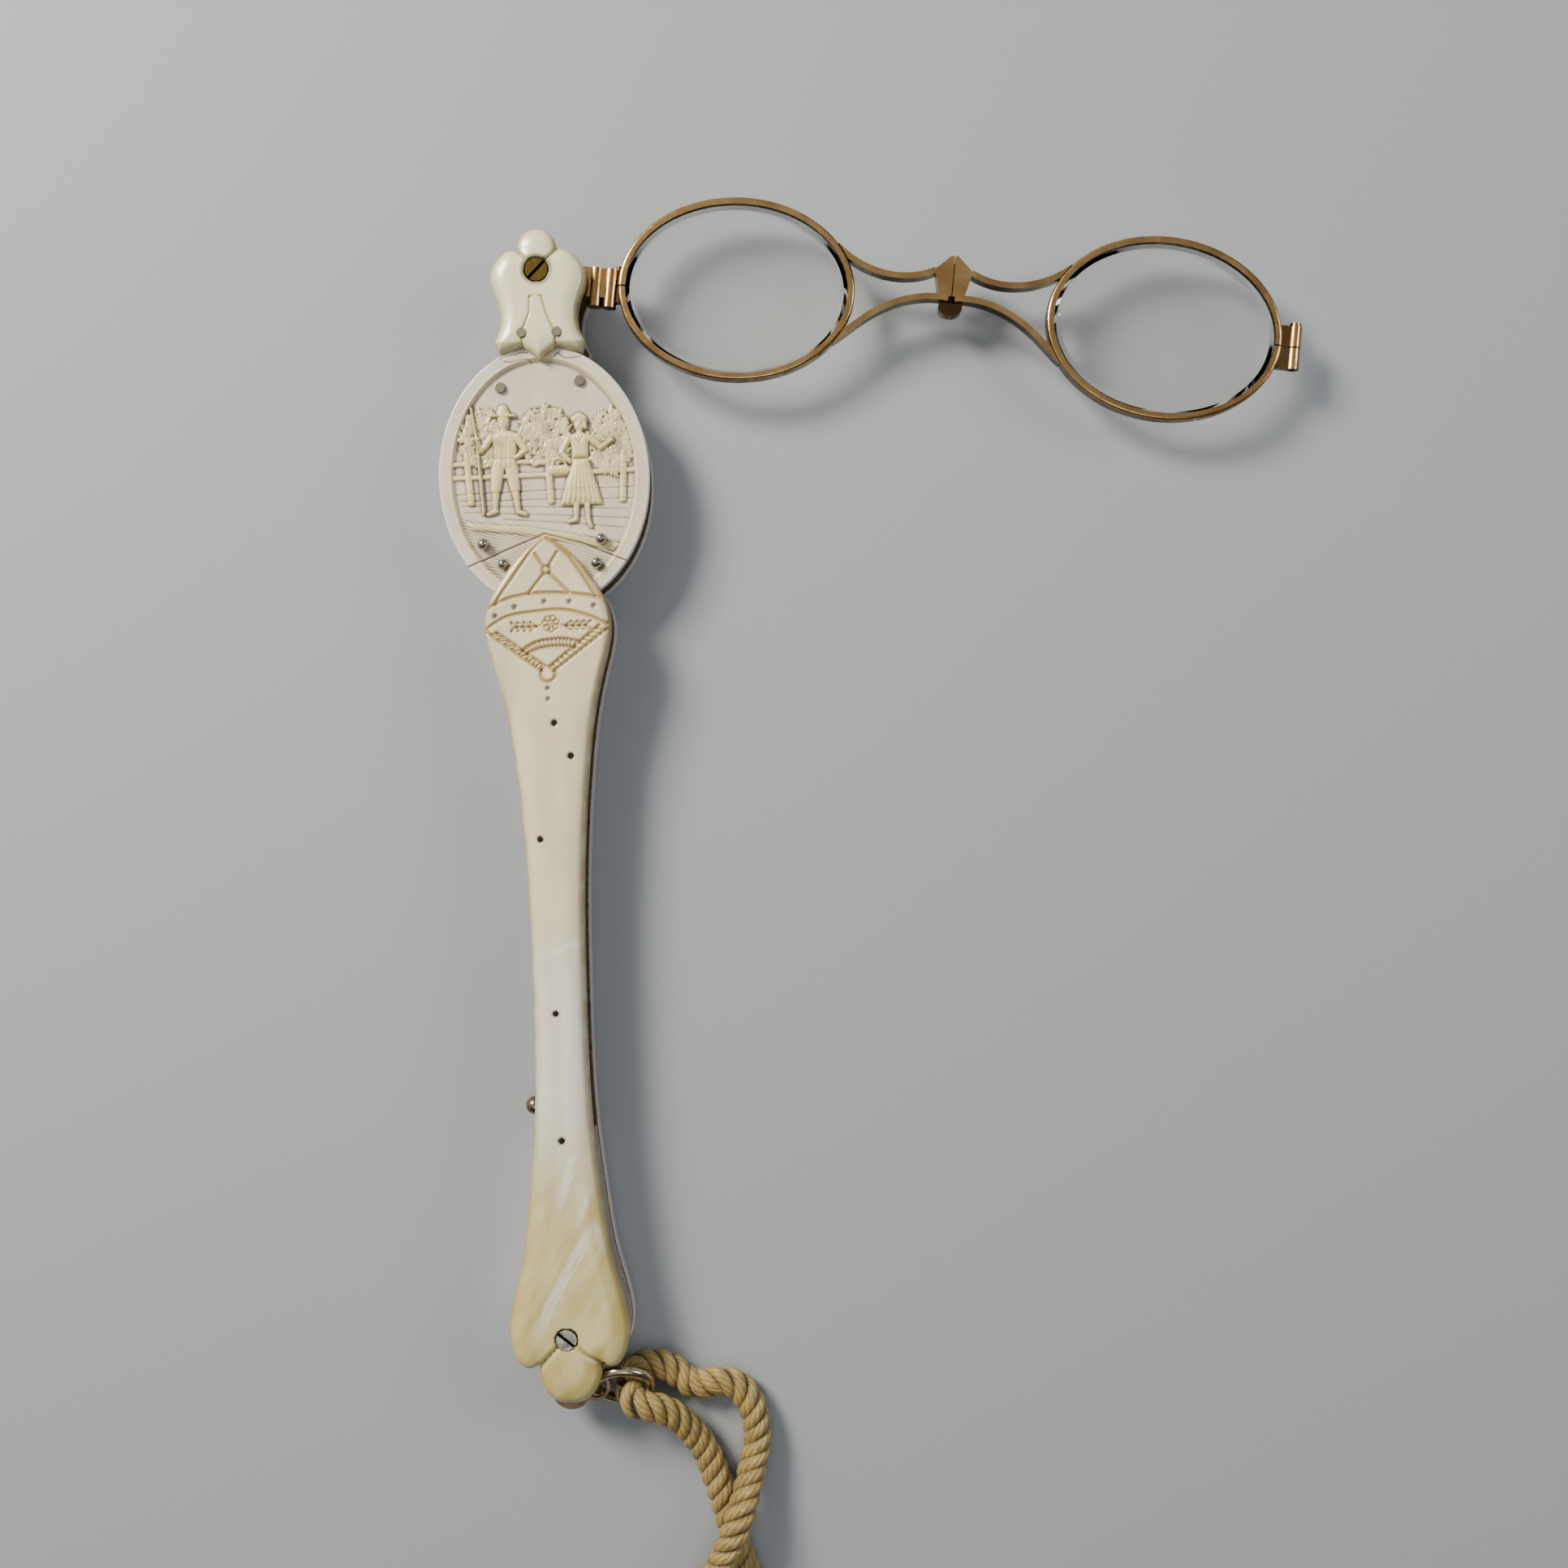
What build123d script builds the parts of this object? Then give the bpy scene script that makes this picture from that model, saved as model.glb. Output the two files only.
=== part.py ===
"""A folding lorgnette: a long flat handle of pearl plates on metal liners, whose oval case takes
two lens frames that fold on each other and swing in about a screw at the head.

The origin is the middle of the oval case's back face. +Y runs up the handle's line to the head,
+X to the right and +Z to the front. All sizes are in millimetres.
"""
from build123d import *
import math
import os

# ---------------------------------------------------------------- driving sizes
# Lens frames ("eyes"), told along u from the swing pivot and v across, before the swing
pivot_rise = 10.25
lens_half_width = 16.0
lens_half_height = 12.14
lens_tilt = 4.0
rim_wall = 1.0
eye_depth = 2.3
eye_gap = 0.1
inner_lens_u = 28.21
lens_v = 1.04
lens_spacing = 61.71
lens_thick = 1.7
lens_bevel = 0.9
groove_depth = 0.35
lens_fit = 0.05
rest_swing = -7.0
swing_closed = -90.0

# Stack of layers through the handle, from the back face up
back_plate_thick = 1.9
liner_thick = 0.4
slot_clear = 0.15
case_front_thick = 1.3
handle_front_thick = 2.9
head_front_thick = 3.1

# Oval case
case_half_width = 15.0
case_half_height = 18.75
case_wall = 0.8
liner_inset = 0.3
seam_apex_y = -8.4
seam_slope = 0.373
plate_joint = 0.06
pearl_round = 0.35
handle_round = 0.9

# Right half of the head plate: top petal and lobe told from the pivot, foot and tongue from the
# top of the case
head_petal_radius = 2.82
head_petal_top = 6.05
head_lobe = [(2.82, 3.1), (4.4, 2.9), (6.0, 1.5), (6.75, -0.2), (6.6, -2.0), (5.9, -3.9),
             (5.45, -6.2), (5.7, -8.2)]
head_hip = (6.5, 0.35)
head_foot = [(5.9, -1.2), (4.2, -0.9), (2.65, -0.35), (1.4, -1.15), (0.0, -2.25)]

# Right half of the handle plate: the spade, the shaft by its share of the way from the spade's
# foot to the tail's foot, and the tail's lobe and end petal told from the tail's foot
tail_foot_y = -126.0
spade = [(0.0, -8.4), (1.65, -9.4), (4.4, -11.9), (6.6, -14.9), (8.0, -17.2), (8.9, -20.8),
         (7.9, -26.6), (6.65, -31.6)]
shaft = [(5.0, 0.123), (4.05, 0.266), (3.75, 0.46), (4.3, 0.661), (5.3, 0.758), (6.7, 0.856)]
tail_lobe = [(8.4, 6.8), (8.35, 2.4), (6.5, -0.6), (4.4, -0.3)]
tail_petal = [(4.4, -1.8), (3.4, -4.3), (0.0, -5.7)]

# Screws and pins
pin_fit = 0.02
run_fit = 0.05
pivot_screw_radius = 1.1
pivot_bush_radius = 1.9
screw_head_height = 1.0
pivot_head_radius = 1.6
pivot_head_sunk = 0.15
tail_screw_radius = 0.9
tail_head_radius = 1.45
tail_screw_x = -0.3
tail_screw_rise = 3.7
screw_slot = 0.45
slot_deep = 0.4
nut_radius = 2.2
nut_thick = 1.2
nut_sink = 0.3
head_pin_radius = 0.6
head_pins_x = [-2.3, 2.65]
head_pin_rise = 1.35
case_pin_radius = 0.7
case_pins_at = [(-5.9, 12.9), (5.4, 13.6)]
stud_radius = 0.6
stud_ball_radius = 0.75
studs_at = [(-8.9, -9.4), (7.9, -9.1), (-6.15, -12.3), (7.15, -12.5)]
handle_pin_radius = 0.4
handle_pins_at = [(0.6, -35.1), (2.8, -39.8), (-1.85, -51.5), (-0.4, -76.2), (-0.1, -94.2)]
back_head_pin = (2.5, 1.65)
back_case_pin = (9.0, 8.0)
back_neck_pin_y = -30.0
back_tail_pin_rises = [2.6, 32.6]

# Swing pivot and arm
hub_radius = 3.3
arm_half_width = 1.5
arm_top_reach = 1.2
arm_skin = 0.3
arm_barrel_radius = 1.07
arm_barrel_length = 5.45
arm_barrels_u = [7.93, 10.08]
arm_v = -0.47

# Closing joints of the rims: a barrel cut in two and drawn shut by a screw. Its reach is how far
# its middle lies outside the rim
inner_joint = {"reach": 0.1, "v": -0.05, "radius": 0.5, "length": 4.8, "screw": 0.25}
outer_joint = {"reach": 1.98, "v": 0.03, "radius": 0.95, "length": 6.15, "screw": 0.45}
joint_slit = 0.22
joint_web_depth = 1.2
joint_head = 0.5

# Bridge between the lens frames and its hinge, told from the hinge's line outwards
bar_width = 0.85
bar_inset = 0.1
upper_bar = [(12.7, 6.0), (9.9, 5.25), (7.0, 5.12), (4.6, 5.55), (2.6, 6.35)]
lower_bar = [(14.9, -3.7), (11.7, -0.95), (9.3, 0.6), (6.85, 1.7), (3.9, 2.43), (0.45, 2.5)]
upper_bar_turn = 31.0
lower_bar_turn = 34.0
block_half_top = 2.75
block_half_foot = 1.83
block_crown = 0.5
block_apex_v = 8.5
block_shoulder_v = 6.4
block_foot_v = 2.7
block_split = 0.14
knuckle_radius = 0.95
knuckle_clear = 0.1
knuckle_foot_v = 0.3
knuckle_low_v = 2.3
knuckle_high_v = 5.9
knuckle_top_v = 7.8
hinge_pin_radius = 0.4
boss_half_width = 1.7
boss_top_v = 2.0
boss_mid_v = 1.35
boss_rise = 1.3

# Release: knob, rod and catch that slide down the handle against a coil spring
release_travel = 2.0
catch_clear = 0.15
catch_tooth_width = 1.4
catch_tooth_root = 1.0
catch_base = 2.6
catch_shoulder = 0.6
catch_height = 2.2
rod_half_width = 0.8
rod_x = -0.3
rod_height = 1.9
rod_lift = 0.1
guide_wall = 0.8
guide_length = 3.0
upper_guide_y = -46.0
lower_guide_rise = 12.6
knob_rise = 3.3
knob_x = -4.8
knob_radius = 1.33
knob_stem_radius = 0.5
spring_wire = 0.3
spring_radius = 0.75
spring_turns = 9
spring_room = 8.0
spring_end_room = 3.6

# Spines, tail block, eye and ring
case_spine_top = (-2.0, 16.5)
case_spine_foot = (-6.0, -15.0)
neck_spine_top = (-6.3, -19.5)
neck_spine_foot = (-4.0, -37.0)
tail_block_length = 32.4
tail_inset = 0.35
spine_inset = 0.5
tongue_thick = 0.7
tongue_x = -0.5
tongue_reach = 8.2
tongue_half_width = 2.85
eye_x = 3.0
eye_drop = 5.0
eye_radius = 1.6
eye_wall = 0.45
ring_wire_radius = 0.75
ring_radius = 3.95
ring_lean = 48.0
cord_diameter = 4.4
cord_clear = 0.15

# ---------------------------------------------------------------- sizes that follow
rim_half_width = lens_half_width + rim_wall
rim_half_height = lens_half_height + rim_wall
pivot_y = case_half_height + pivot_rise
head_pins_at = [(x, case_half_height + head_pin_rise) for x in head_pins_x]
hinge_u = inner_lens_u + lens_spacing / 2
outer_lens_u = inner_lens_u + lens_spacing
slot_floor_z = back_plate_thick + liner_thick
fold_z = slot_floor_z + slot_clear + eye_depth + eye_gap / 2
eye_low_z = fold_z + eye_gap / 2
eye_mid_z = eye_low_z + eye_depth / 2
slot_roof_z = eye_low_z + eye_depth + slot_clear
front_z = slot_roof_z + liner_thick
case_top_z = front_z + case_front_thick
handle_top_z = front_z + handle_front_thick
head_top_z = front_z + head_front_thick
slot_height = slot_roof_z - slot_floor_z
ring_mid_z = (slot_floor_z + slot_roof_z) / 2
cord_radius = cord_diameter / 2
rod_low_z = slot_floor_z + rod_lift
rod_top_z = rod_low_z + rod_height
tail_top_y = tail_foot_y + tail_block_length
tail_screw_at = (tail_screw_x, tail_foot_y + tail_screw_rise)
back_pins_at = [(side * back_head_pin[0], case_half_height + back_head_pin[1]) for side in (-1, 1)]
back_pins_at += [(side * back_case_pin[0], end * back_case_pin[1])
                 for side in (-1, 1) for end in (-1, 1)]
back_pins_at += [(0.0, back_neck_pin_y)] + [(0.0, tail_top_y + rise) for rise in back_tail_pin_rises]
eye_at = (eye_x, tail_foot_y - eye_drop)
knob_y = tail_top_y + knob_rise
guides_y = [upper_guide_y, tail_top_y + lower_guide_rise]


# ---------------------------------------------------------------- small helpers
def slab(sketch, low, high):
    """The sketch drawn up from low to high."""
    return extrude(Pos(0, 0, low) * sketch, high - low)


def rod(x, y, radius, low, high):
    """A round pin along Z."""
    return Pos(x, y, (low + high) / 2) * Cylinder(radius, high - low)


def pins(places, radius, low, high):
    return [rod(x, y, radius, low, high) for x, y in places]


def block(low, high):
    """A box between two corners."""
    size = [b - a for a, b in zip(low, high)]
    middle = [(a + b) / 2 for a, b in zip(low, high)]
    return Pos(*middle) * Box(*size)


def mirrored_face(half):
    """A face from a half outline that starts and ends on the Y axis."""
    edges = [edge for curve in half for edge in curve.edges()]
    edges += [edge for curve in edges for edge in mirror(curve, Plane.YZ).edges()]
    return make_face(edges)


def across(u, v, radius, low, high):
    """A round bar along v, in the lens frames' own coordinates; u, v and z give its middle line."""
    return Pos(u, (low + high) / 2, v) * Rot(90, 0, 0) * Cylinder(radius, high - low)


def in_frame(shape):
    """From the lens frames' own coordinates to the swing that the lorgnette is stored at."""
    return Pos(0, pivot_y, 0) * Rot(0, 0, rest_swing) * shape


def spanning(places):
    """A face through points."""
    return make_face(Polyline(*places, close=True))


def rounded_top(plate, top_z, radius):
    """The plate with the edges of its top face rounded."""
    edges = plate.faces().sort_by(Axis.Z)[-1].outer_wire().edges()
    return fillet(edges, radius)


# ---------------------------------------------------------------- outlines
def drawn_in(points, inset):
    """Points of a right-hand outline, told from top to bottom, each moved in by the inset."""
    moved = []
    for i, (x, y) in enumerate(points):
        before, after = points[max(i - 1, 0)], points[min(i + 1, len(points) - 1)]
        along = Vector(after[0] - before[0], after[1] - before[1]).normalized()
        if x == 0:
            moved.append((0.0, y - inset if i == 0 else y + inset))
        else:
            moved.append((x + along.Y * inset, y - along.X * inset))
    return moved


def head_outline(inset=0.0):
    radius = head_petal_radius - inset
    turn = math.radians(45)
    petal_mid_y = head_petal_top - head_petal_radius
    bulge = (radius * math.sin(turn), petal_mid_y + radius * math.cos(turn))
    from_case = [(x, y + case_half_height - pivot_y) for x, y in [head_hip] + head_foot]
    side = drawn_in(head_lobe + from_case, inset)
    split = len(head_lobe) + 1
    lobe, foot = side[:split], side[split:]
    half = [
        ThreePointArc((0, head_petal_top - inset), bulge, lobe[0]),
        Spline(*lobe),
        Line(lobe[-1], foot[0]),
        Spline(*foot[:3]),
        Spline(*foot[2:]),
    ]
    return Pos(0, pivot_y) * mirrored_face(half)


def handle_outline(inset=0.0):
    length = tail_foot_y - spade[-1][1]
    points = spade + [(x, spade[-1][1] + share * length) for x, share in shaft]
    points += [(x, tail_foot_y + y) for x, y in tail_lobe]
    notch = len(points)
    side = drawn_in(points + [(x, tail_foot_y + y) for x, y in tail_petal], inset)
    half = [Spline(*side[:notch]), Spline(*side[notch - 1:])]
    return mirrored_face(half)


def case_outline(inset=0.0):
    return Ellipse(case_half_width - inset, case_half_height - inset)


def above_seam():
    """All above the chevron-shaped seam between the case's upper plate and its wedges."""
    reach = 2 * case_half_width
    foot = seam_apex_y - seam_slope * reach
    top = 2 * case_half_height
    return spanning([(0, seam_apex_y), (reach, foot), (reach, top), (-reach, top), (-reach, foot)])


head = head_outline()
handle = handle_outline()
case = case_outline()
head_cut = head_outline(-plate_joint)
handle_cut = handle_outline(-plate_joint)


# ---------------------------------------------------------------- pearl plates
def bored(shape, places, radius, low, high):
    """The shape with a pin hole at each place."""
    return shape - pins(places, radius + pin_fit, low, high)


def pearl_plates():
    over = case_top_z + handle_top_z
    front_head = rounded_top(slab(head, front_z, head_top_z), head_top_z, pearl_round)
    front_head = bored(front_head, head_pins_at, head_pin_radius, front_z, over)
    front_head -= rod(0, pivot_y, pivot_screw_radius + pin_fit, front_z, over)
    sink = head_top_z - pivot_head_sunk - screw_head_height - pin_fit
    front_head -= rod(0, pivot_y, pivot_head_radius + pin_fit, sink, over)

    holes = [(case_pins_at, case_pin_radius), (studs_at, stud_radius)]
    upper = slab(case & above_seam(), front_z, case_top_z)
    wedges = slab(case - offset(above_seam(), plate_joint), front_z, case_top_z)
    upper -= slab(head_cut, front_z, over)
    wedges -= slab(handle_cut, front_z, over)
    for places, radius in holes:
        upper = bored(upper, places, radius, front_z, over)
        wedges = bored(wedges, places, radius, front_z, over)

    front_handle = rounded_top(slab(handle, front_z, handle_top_z), handle_top_z, handle_round)
    front_handle = bored(front_handle, handle_pins_at, handle_pin_radius, front_z, over)
    x, y = tail_screw_at
    front_handle -= rod(x, y, tail_screw_radius + pin_fit, front_z, over)
    sink = handle_top_z - screw_head_height - pin_fit
    front_handle -= rod(x, y, tail_head_radius + pin_fit, sink, over)

    back_head = slab(head, 0, back_plate_thick)
    back_handle = slab(handle, 0, back_plate_thick)
    back_case = slab(case - head_cut - handle_cut, 0, back_plate_thick)
    backs = []
    for plate in (back_head, back_case, back_handle):
        plate = bored(plate, back_pins_at, handle_pin_radius, -1, back_plate_thick)
        plate -= rod(0, pivot_y, nut_radius + pin_fit, nut_sink, back_plate_thick)
        plate -= rod(x, y, nut_radius + pin_fit, nut_sink, back_plate_thick)
        backs.append(plate)
    return {
        "front_head_plate": front_head,
        "front_case_plate": upper,
        "front_case_wedges": wedges,
        "front_handle_plate": front_handle,
        "back_head_plate": backs[0],
        "back_case_plate": backs[1],
        "back_handle_plate": backs[2],
    }


# ---------------------------------------------------------------- metal frame of the handle
def liners():
    outlines = [head_outline(liner_inset), case_outline(liner_inset), handle_outline(liner_inset)]
    back, front = [
        slab(outlines[0], low, low + liner_thick) + slab(outlines[1], low, low + liner_thick)
        + slab(outlines[2], low, low + liner_thick)
        for low in (back_plate_thick, slot_roof_z)
    ]
    end_room = rod(*eye_at, eye_radius + eye_wall + ring_wire_radius, slot_roof_z, front_z)
    front -= end_room
    x, y = tail_screw_at
    for shaft in ((0, pivot_y, pivot_screw_radius), (x, y, tail_screw_radius)):
        front -= rod(*shaft[:2], shaft[2] + pin_fit, slot_roof_z, front_z)
        back -= rod(*shaft[:2], shaft[2] + pin_fit, 0, slot_floor_z)
    for places, radius in ((head_pins_at, head_pin_radius), (case_pins_at, case_pin_radius),
                           (studs_at, stud_radius), (handle_pins_at, handle_pin_radius)):
        front = bored(front, places, radius, slot_roof_z, front_z)
    back = bored(back, back_pins_at, handle_pin_radius, 0, slot_floor_z)
    return {"front_liner": front, "back_liner": back}


def spines():
    """Full-height walls on the left, where nothing swings past: along the case and the spade."""
    wall = case_outline(liner_inset) - case_outline(liner_inset + case_wall)
    out = -1.5 * case_half_width
    top, foot = case_spine_top, case_spine_foot
    left = spanning([top, (out, top[1]), (out, foot[1]), foot])
    top, foot = neck_spine_top, neck_spine_foot
    strip = spanning([(out, top[1]), top, foot, (out, foot[1])])
    return {
        "case_spine": slab(wall & left, slot_floor_z, slot_roof_z),
        "neck_spine": slab(handle_outline(spine_inset) & strip, slot_floor_z, slot_roof_z),
    }


def tail():
    """The block that closes the slot at the tail, and its tongue with the eye for the ring."""
    wide = 4 * case_half_width
    band = Pos(0, (tail_top_y + tail_foot_y) / 2) * Rectangle(wide, tail_top_y - tail_foot_y)
    solid = slab(handle_outline(tail_inset) & band, slot_floor_z, slot_roof_z)
    tongue_low = ring_mid_z - tongue_thick / 2
    end_y = tail_foot_y - tongue_reach + tongue_half_width
    root_y = tail_foot_y + tongue_half_width
    tongue = Pos(tongue_x, (root_y + end_y) / 2) * Rectangle(2 * tongue_half_width, root_y - end_y)
    tongue += Pos(tongue_x, end_y) * Circle(tongue_half_width)
    tongue += Pos(*eye_at) * Circle(eye_radius + eye_wall)
    solid += slab(tongue, tongue_low, tongue_low + tongue_thick)
    solid -= rod(*eye_at, eye_radius, 0, slot_roof_z)
    low_x, high_x = rod_x - rod_half_width - run_fit, rod_x + rod_half_width + run_fit
    channel_foot_y = tail_top_y - spring_room - spring_end_room
    solid -= block((low_x, channel_foot_y, 0), (high_x, 0, rod_top_z + run_fit))
    solid -= rod(*tail_screw_at, tail_screw_radius + pin_fit, 0, slot_roof_z)
    return {"tail_block": solid}


def slotted_screw(x, y, shaft_radius, head_radius, low, top, turn):
    """A cheese-head screw whose head ends at top, with its slot turned by some degrees."""
    shaft = rod(x, y, shaft_radius, low, top - screw_head_height)
    top_part = rod(x, y, head_radius, top - screw_head_height, top)
    slot = Pos(x, y, top) * Rot(0, 0, turn) * Box(4 * head_radius, screw_slot, 2 * slot_deep)
    return shaft + top_part - slot


def nut(x, y, hole_radius):
    disc = rod(x, y, nut_radius, nut_sink, nut_sink + nut_thick)
    return disc - rod(x, y, hole_radius + pin_fit, 0, slot_floor_z)


def fasteners():
    x, y = tail_screw_at
    bush = rod(0, pivot_y, pivot_bush_radius, slot_floor_z, slot_roof_z)
    bush -= rod(0, pivot_y, pivot_screw_radius + pin_fit, 0, slot_roof_z)
    collar_high = eye_low_z - run_fit
    collar = rod(0, pivot_y, hub_radius, slot_floor_z, collar_high)
    collar -= rod(0, pivot_y, pivot_bush_radius + pin_fit, 0, collar_high)
    studs = [
        stem + Pos(px, py, case_top_z + stud_ball_radius * 0.6) * Sphere(stud_ball_radius)
        for stem, (px, py) in zip(pins(studs_at, stud_radius, slot_roof_z, case_top_z + 0.3), studs_at)
    ]
    return {
        "pivot_bush": bush,
        "spacing_collar": collar,
        "pivot_screw": slotted_screw(0, pivot_y, pivot_screw_radius, pivot_head_radius,
                                     nut_sink, head_top_z - pivot_head_sunk, 45),
        "pivot_nut": nut(0, pivot_y, pivot_screw_radius),
        "tail_screw": slotted_screw(x, y, tail_screw_radius, tail_head_radius,
                                    nut_sink, handle_top_z, -40),
        "tail_nut": nut(x, y, tail_screw_radius),
        "head_pins": Compound(pins(head_pins_at, head_pin_radius, slot_roof_z, head_top_z)),
        "case_pins": Compound(pins(case_pins_at, case_pin_radius, slot_roof_z, case_top_z)),
        "case_studs": Compound(studs),
        "handle_pins": Compound(pins(handle_pins_at, handle_pin_radius, slot_roof_z, handle_top_z - 0.1)),
        "back_pins": Compound(pins(back_pins_at, handle_pin_radius, 0.05, slot_floor_z)),
    }


# ---------------------------------------------------------------- lens frames
def tilt_of(lens_u):
    """The inner eye leans one way and the outer eye the other, so that they fold together."""
    return lens_tilt if lens_u < hinge_u else -lens_tilt


def eye_ellipse(lens_u, grow):
    """The eye's oval in its place, larger than the lens opening by grow."""
    oval = Ellipse(lens_half_width + grow, lens_half_height + grow)
    return Pos(lens_u, lens_v) * Rot(0, 0, tilt_of(lens_u)) * oval


def lens_solid(lens_u, grow=0.0):
    """A lens with a pointed edge all round and a bevelled face, grown by a clearance."""
    edge = (lens_half_width + groove_depth + grow, lens_half_height + groove_depth + grow)
    half = lens_thick / 2 + grow
    rings = [(half, lens_bevel + groove_depth), (0.3, groove_depth + 0.1), (0, 0)]
    layers = []
    for (z_far, step_far), (z_near, step_near) in zip(rings, rings[1:]):
        for side in (1, -1):
            near = Pos(0, 0, side * z_near) * Ellipse(edge[0] - step_near, edge[1] - step_near)
            far = Pos(0, 0, side * z_far) * Ellipse(edge[0] - step_far, edge[1] - step_far)
            layers.append(loft([near, far], ruled=True))
    whole = layers[0]
    for layer in layers[1:]:
        whole += layer
    return Pos(lens_u, lens_v, eye_mid_z) * Rot(0, 0, tilt_of(lens_u)) * whole


def joint_u(lens_u, joint, side):
    return lens_u + side * (rim_half_width + joint["reach"])


def rim(lens_u, joint, side):
    """An eyewire with its groove and its split closing barrel on the side away from the bridge."""
    wire = slab(eye_ellipse(lens_u, rim_wall), eye_low_z, eye_low_z + eye_depth)
    wire = fillet(wire.edges(), 0.4 * rim_wall)
    solid = wire - slab(eye_ellipse(lens_u, 0), 0, head_top_z)
    u, v, half = joint_u(lens_u, joint, side), joint["v"], joint["length"] / 2
    low, high = v - half, v + half
    barrel = across(u, eye_mid_z, joint["radius"], low, high)
    web_u = sorted((u, lens_u + side * (rim_half_width - rim_wall / 3)))
    web = block((web_u[0], low, eye_mid_z - joint_web_depth / 2),
                (web_u[1], high, eye_mid_z + joint_web_depth / 2))
    web -= slab(eye_ellipse(lens_u, rim_wall / 2), 0, head_top_z)
    solid += barrel + web
    solid -= lens_solid(lens_u, lens_fit)
    slit_u = sorted((u + 3 * side * joint["radius"], lens_u + side * (lens_half_width - rim_wall)))
    solid -= block((slit_u[0], v - joint_slit / 2, 0), (slit_u[1], v + joint_slit / 2, head_top_z))
    solid -= across(u, eye_mid_z, joint["screw"] + pin_fit, low - joint_head, high)
    head_radius = 0.85 * joint["radius"]
    solid -= across(u, eye_mid_z, head_radius + pin_fit, high, high + joint_head + pin_fit)
    screw = across(u, eye_mid_z, joint["screw"], low + 0.2, high + joint_head)
    screw += across(u, eye_mid_z, head_radius, high + pin_fit, high + joint_head)
    return solid, screw


def rim_point(lens_u, degrees):
    """A point on the eyewire, told by its angle from the eye's long axis."""
    turn, tilt = math.radians(degrees), math.radians(tilt_of(lens_u))
    x = (rim_half_width - rim_wall / 3) * math.cos(turn)
    y = (rim_half_height - rim_wall / 3) * math.sin(turn)
    return (lens_u + x * math.cos(tilt) - y * math.sin(tilt),
            lens_v + x * math.sin(tilt) + y * math.cos(tilt))


def bar(points):
    strip = trace(Spline(*points), bar_width)
    return slab(strip, eye_low_z + bar_inset, eye_low_z + eye_depth - bar_inset)


def bridge_half(side, knuckles, gaps):
    """One half of the bridge: its two bars, its half of the middle block and its knuckles."""
    lens_u = hinge_u + side * lens_spacing / 2
    toward = 0 if side < 0 else 180
    upper = bar([rim_point(lens_u, toward - side * upper_bar_turn)]
                + [(hinge_u + side * far, v) for far, v in upper_bar])
    lower = bar([rim_point(lens_u, toward + side * lower_bar_turn)]
                + [(hinge_u + side * far, v) for far, v in lower_bar])
    near = hinge_u + side * block_split / 2
    shape = spanning([
        (near, block_foot_v), (near, block_apex_v), (hinge_u + side * block_crown, block_apex_v),
        (hinge_u + side * block_half_top, block_shoulder_v),
        (hinge_u + side * block_half_foot, block_foot_v)])
    solid = upper + lower + slab(shape, eye_low_z + block_split, eye_low_z + eye_depth)
    solid -= slab(Pos(hinge_u - side * case_half_width + side * block_split / 2, 0)
                  * Rectangle(2 * case_half_width, 2 * case_half_width), 0, head_top_z)
    for low, high in gaps:
        solid -= across(hinge_u, fold_z, knuckle_radius + knuckle_clear, low, high)
    for low, high in knuckles:
        solid += across(hinge_u, fold_z, knuckle_radius, low, high)
    solid -= across(hinge_u, fold_z, hinge_pin_radius + run_fit, knuckle_foot_v - 1, knuckle_top_v + 1)
    return solid - slab(eye_ellipse(lens_u, rim_wall), 0, head_top_z)


def hinge_boss():
    """A rounded boss at the hinge's lower end, which the catch holds while the frame is stowed."""
    oval = Pos(hinge_u, boss_mid_v) * Ellipse(boss_half_width, boss_mid_v - knuckle_foot_v)
    below = Pos(hinge_u, boss_top_v - 2 * boss_half_width) * Rectangle(
        4 * boss_half_width, 4 * boss_half_width)
    upright = Pos(hinge_u, (boss_mid_v + boss_top_v) / 2) * Rectangle(
        2 * boss_half_width, boss_top_v - boss_mid_v)
    return slab((oval & below) + upright, fold_z - knuckle_radius, fold_z + boss_rise)


def lens_frames():
    gap = run_fit
    outer_knuckle = (knuckle_low_v, knuckle_high_v)
    low_knuckle = (knuckle_foot_v, knuckle_low_v - gap)
    high_knuckle = (knuckle_high_v + gap, knuckle_top_v)
    inner_rim, inner_screw = rim(inner_lens_u, inner_joint, -1)
    outer_rim, outer_screw = rim(outer_lens_u, outer_joint, 1)
    inner_bridge = bridge_half(-1, [low_knuckle, high_knuckle],
                               [(knuckle_low_v - gap, knuckle_high_v + gap)])
    outer_bridge = bridge_half(1, [outer_knuckle],
                               [(knuckle_foot_v, knuckle_low_v), (knuckle_high_v, knuckle_top_v + gap)])
    inner_bridge += hinge_boss()
    reach = (knuckle_foot_v - 1, knuckle_top_v + 1)
    inner_bridge -= across(hinge_u, fold_z, hinge_pin_radius + pin_fit, *reach)
    pin = across(hinge_u, fold_z, hinge_pin_radius, knuckle_foot_v + 0.1, knuckle_top_v - 0.1)
    leaf = ((hinge_u - 1.95, 3.6, eye_low_z + 0.5), (hinge_u - 1.15, 5.6, eye_low_z + 0.8))
    inner_bridge -= block([c - run_fit for c in leaf[0]], [c + run_fit for c in leaf[1]])
    return {
        "pivot_arm": pivot_arm(),
        "inner_rim": inner_rim,
        "inner_lens": lens_solid(inner_lens_u),
        "inner_closing_screw": inner_screw,
        "inner_bridge": inner_bridge,
        "bridge_pin": pin,
        "bridge_spring": block(*leaf),
        "outer_rim": outer_rim,
        "outer_lens": lens_solid(outer_lens_u),
        "outer_closing_screw": outer_screw,
        "outer_bridge": outer_bridge,
    }


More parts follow.
